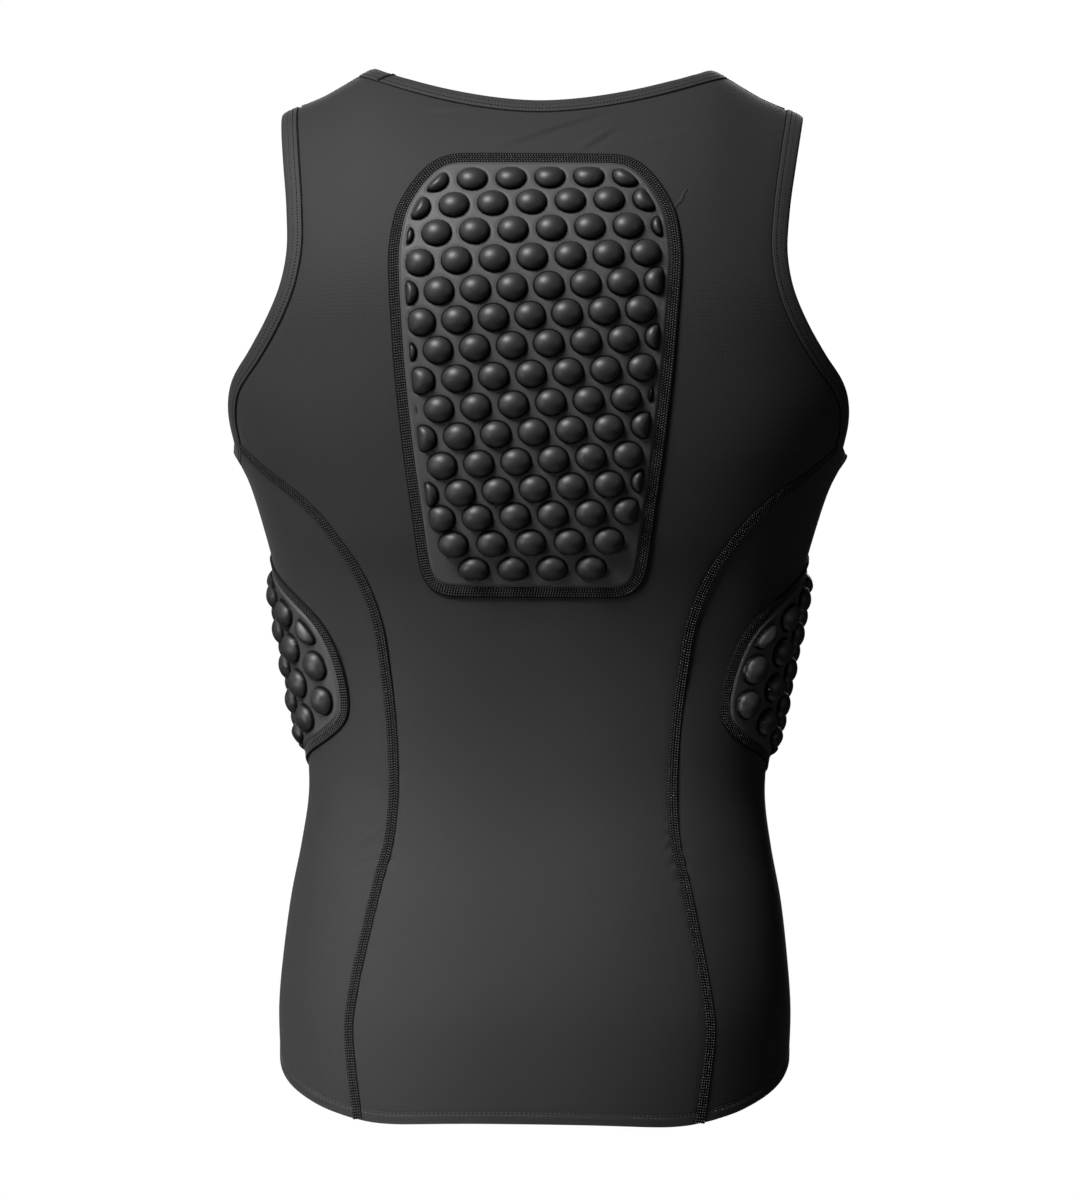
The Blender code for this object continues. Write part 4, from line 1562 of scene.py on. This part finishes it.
def add_pad(name, outline, place, centres, border, dome, counts, rounding, node):
    """A pad as a closed form over the cloth, with its stitched border."""
    dome_height = bpy.context.scene.shirt_pads.dome_height / MM
    loop = softened(even_path(np.array(outline), OUTLINE_STEP, True), rounding)
    flat = patch(loop, *counts)
    step = np.ptp(loop[:, 0]) / counts[0]
    flat = drawn_to_domes(flat, centres, dome, DOME_DRAW * step)
    inside = inside_distance(flat, loop)
    lift, foot = pad_lift(flat, inside, centres, border, dome, dome_height)
    cloth = place(flat[..., 0], flat[..., 1])
    out = outward(cloth)
    outer = cloth + out * (PAD_STANDOFF + lift)[..., None]
    inner = (cloth + out * PAD_STANDOFF * PAD_INNER_SHARE)[::PAD_INNER_STEP, ::PAD_INNER_STEP]
    rows, columns = flat.shape[:2]
    count = rows * columns
    rim, inner_rim = grid_rim(rows, columns), grid_rim(*inner.shape[:2]) + count
    ahead = np.append(rim, rim[0])
    faces = grid_faces(rows, columns).tolist()
    faces += (grid_faces(*inner.shape[:2])[:, ::-1] + count).tolist()
    for i, corner in enumerate(inner_rim):
        first = i * PAD_INNER_STEP
        outer_edge = ahead[first:first + PAD_INNER_STEP + 1][::-1].tolist()
        faces.append(outer_edge + [corner, inner_rim[(i + 1) % len(inner_rim)]])
    points = np.concatenate([outer.reshape(-1, 3), inner.reshape(-1, 3)])
    inner_flat = flat[::PAD_INNER_STEP, ::PAD_INNER_STEP]
    uv = np.concatenate([flat.reshape(-1, 2), inner_flat.reshape(-1, 2)])
    made = add_piece(name, points, faces, pad_cover(), [node], uv)
    # Each point's distance from its dome's foot, which the cover's painted shade and painted light read
    from_foot = np.concatenate([foot.ravel(), np.full(inner_flat.size // 2, border)])
    layer = made.data.attributes.new("from_dome_foot", "FLOAT", "POINT")
    layer.data.foreach_set("value", (from_foot * MM).astype(np.float32))
    pitch = bpy.context.scene.shirt_seams.pitch / MM
    half = border / 2
    middle, up = border_line(loop, half, place)
    section = {"out": BORDER_SECTION["out"] * half, "up": BORDER_SECTION["up"]}
    centre = cloth.reshape(-1, 3).mean(axis=0)
    sweep(f"{name}_border", middle, section, True, seam_threads_and_painted_shade(), towards=centre)
    side = path_frame(middle, True, centre)[0]
    lines = [(middle + side * half * s + up * BORDER_TOP, up, True) for s in BORDER_ROWS]
    add_stitches(f"{name}_stitches", lines, "pad_cover", thread(), pitch, *RUNG, RUNG_LEAN)


def border_line(loop, inset, place):
    """The cloth under a line at a distance in from a pad's outline, with its up directions."""
    along = np.roll(loop, -1, axis=0) - np.roll(loop, 1, axis=0)
    inwards = np.stack([-along[:, 1], along[:, 0]], axis=1)
    flat = loop + inset * inwards / np.linalg.norm(inwards, axis=1)[:, None]
    points = even_path(place(flat[:, 0], flat[:, 1]), LINE_STEP, True)
    return points, outward(points)


class SHIRT_OT_pads(bpy.types.Operator):
    """Makes the back pad and the two rib pads"""

    bl_idname = "shirt.pads"
    bl_label = "Moulded Pads"

    def execute(self, context):
        heights = np.linspace(BACK_PAD["height"][0], BACK_PAD["height"][-1], PATH_SAMPLES)
        depths = depth_at(0.0, heights, True)
        run = np.concatenate([[0], np.cumsum(np.hypot(np.diff(heights), np.diff(depths)))])
        right = [
            (half, np.interp(height, heights, run))
            for height, half in zip(BACK_PAD["height"], BACK_PAD["half_width"])
        ]
        centres = []
        for row, line in enumerate(rows_of(DOME_ROWS)):
            v = run[-1] - BACK_DOME_TOP_MARGIN - row * BACK_DOME_ROW_STEP - line["drop"]
            shift = 0.5 if row % 2 == 0 else 0.0
            for step in np.arange(-BACK_DOME_REACH, BACK_DOME_REACH + 1) + shift:
                if abs(step) <= line["reach"]:
                    u = step * line["pitch"] + line["side"]
                    centres.append((u, v + line["slope"] * u))
        add_pad(
            "back_padding",
            right + [(-u, v) for u, v in right[::-1]],
            lambda u, v: on_section(np.interp(v, run, heights), u),
            centres, BACK_PAD_BORDER, BACK_DOME, BACK_PAD_GRID, BACK_PAD_ROUNDING, "back_pad",
        )
        across, height, off = STRAY_THREAD.values()
        path = np.stack([across, depth_at(across, height, True), height], axis=1)
        path += outward(path) * off[:, None]
        sweep("stray_thread", path, STRAY_SECTION, False, thread())
        ahead = -RIB_PAD["behind_side"]
        outline = list(zip(ahead[::-1], RIB_PAD["bottom"][::-1]))
        outline += list(zip(ahead, RIB_PAD["top"]))
        centres = []
        for column in range(RIB_DOME_COLUMNS):
            u = -RIB_DOME_FIRST_COLUMN + column * RIB_DOME_COLUMN_STEP
            shift = 0.5 if column % 2 else 0.0
            for row in range(-RIB_DOME_REACH, RIB_DOME_REACH + 1):
                centres.append((u, RIB_DOME_LEVEL + (row + shift) * RIB_DOME_PITCH))
        for word, side in SIDES:

            def place(u, height, side=side):
                return on_section(height, side_run(height) + u) * (side, 1, 1)

            add_pad(
                f"rib_padding_{word}", outline, place, centres, RIB_PAD_BORDER,
                RIB_DOME, RIB_PAD_GRID, RIB_PAD_ROUNDING, f"rib_pad_{word}",
            )
        return {"FINISHED"}


class SHIRT_OT_cut(bpy.types.Operator):
    """A step that does nothing: no flat cut of the knitted panels is stated"""

    bl_idname = "shirt.cut"
    bl_label = "Flat Cuts"

    def execute(self, context):
        return {"FINISHED"}


# Stage

def add_light(name, place, size, power, target=AIM, spread=math.pi):
    """A square soft light that looks at the shirt."""
    lamp = bpy.data.lights.new(name, "AREA")
    lamp.size = size
    lamp.energy = power
    lamp.spread = spread
    made = bpy.data.objects.new(name, lamp)
    made.location = AIM + place
    made.rotation_euler = (target - made.location).to_track_quat("-Z", "Y").to_euler()
    bpy.context.scene.collection.objects.link(made)


class SHIRT_OT_stage(bpy.types.Operator):
    """Makes the floor, the lights, the white surround and the camera"""

    bl_idname = "shirt.stage"
    bl_label = "Stage"

    def execute(self, context):
        look = context.scene.shirt_stage
        mesh = bpy.data.meshes.new("pale_floor")
        corners = [(x * FLOOR_REACH, y * FLOOR_REACH, FLOOR_LEVEL) for x, y in CORNERS]
        mesh.from_pydata(corners, [], [(0, 1, 2, 3)])
        floor = bpy.data.objects.new("pale_floor", mesh)
        context.scene.collection.objects.link(floor)
        paper = bpy.data.materials.new("matt_white_paper")
        paper.use_nodes = True
        shader = paper.node_tree.nodes["Principled BSDF"]
        shader.inputs["Base Color"].default_value = (*look.floor_colour, 1.0)
        shader.inputs["Roughness"].default_value = FLOOR_ROUGHNESS
        mesh.materials.append(paper)

        world = bpy.data.worlds.new("white_surround")
        world.use_nodes = True
        tree = world.node_tree
        tree.nodes.clear()
        blend = {0: add_node(tree, "ShaderNodeLightPath").outputs["Is Camera Ray"]}
        for socket, strength in ((1, SURROUND_LIGHT), (2, 1.0)):
            shone = {"Color": (1, 1, 1, 1), "Strength": strength}
            blend[socket] = add_node(tree, "ShaderNodeBackground", inputs=shone).outputs[0]
        both = add_node(tree, "ShaderNodeMixShader", inputs=blend)
        add_node(tree, "ShaderNodeOutputWorld", inputs={"Surface": both.outputs[0]})
        context.scene.world = world
        context.scene.view_settings.view_transform = "Standard"

        for name, place, size, share, *aimed in LIGHTS:
            add_light(name, Vector(place), size, look.key * share, *aimed)

        lens = bpy.data.cameras.new("camera")
        lens.sensor_width = SENSOR
        lens.sensor_fit = "AUTO"
        lens.lens = SENSOR * look.distance / IMAGE_HEIGHT
        camera = bpy.data.objects.new("camera", lens)
        away = Vector((-math.sin(CAMERA_TURN), math.cos(CAMERA_TURN), 0)) * look.distance
        camera.matrix_world = (-away).to_track_quat("-Z", "Y").to_matrix().to_4x4()
        camera.location = AIM + away
        camera.rotation_euler.rotate_axis("Z", CAMERA_ROLL)
        context.scene.collection.objects.link(camera)
        context.scene.camera = camera
        return {"FINISHED"}


class SHIRT_PT_panel(bpy.types.Panel):
    """The shirt's sizes, colours and steps"""

    bl_idname = "SHIRT_PT_panel"
    bl_label = "Padded Shirt"
    bl_space_type = "VIEW_3D"
    bl_region_type = "UI"
    bl_category = "Shirt"

    def draw(self, context):
        for group in GROUPS:
            box = self.layout.box()
            settings = getattr(context.scene, group)
            for name in settings.bl_rna.properties.keys():
                if name not in ("rna_type", "name"):
                    box.prop(settings, name)
        for step in STEPS:
            self.layout.operator(step.bl_idname)


GROUPS = {
    "shirt_cloth": ShirtCloth,
    "shirt_pads": ShirtPads,
    "shirt_seams": ShirtSeams,
    "shirt_stage": ShirtStage,
}
STEPS = (
    SHIRT_OT_cloth,
    SHIRT_OT_bindings,
    SHIRT_OT_seams,
    SHIRT_OT_hem,
    SHIRT_OT_pads,
    SHIRT_OT_cut,
    SHIRT_OT_stage,
)


def register():
    """Adds the classes and the settings to Blender."""
    for made in tuple(GROUPS.values()) + STEPS + (SHIRT_PT_panel,):
        bpy.utils.register_class(made)
    for name, group in GROUPS.items():
        setattr(bpy.types.Scene, name, bpy.props.PointerProperty(type=group))


def unregister():
    """Takes them out again."""
    for name in GROUPS:
        delattr(bpy.types.Scene, name)
    for made in (SHIRT_PT_panel,) + STEPS[::-1] + tuple(GROUPS.values()):
        bpy.utils.unregister_class(made)


def main():
    """Makes every piece and the stage."""
    register()
    for step in STEPS:
        group, name = step.bl_idname.split(".")
        getattr(getattr(bpy.ops, group), name)()


if __name__ == "__main__":
    main()
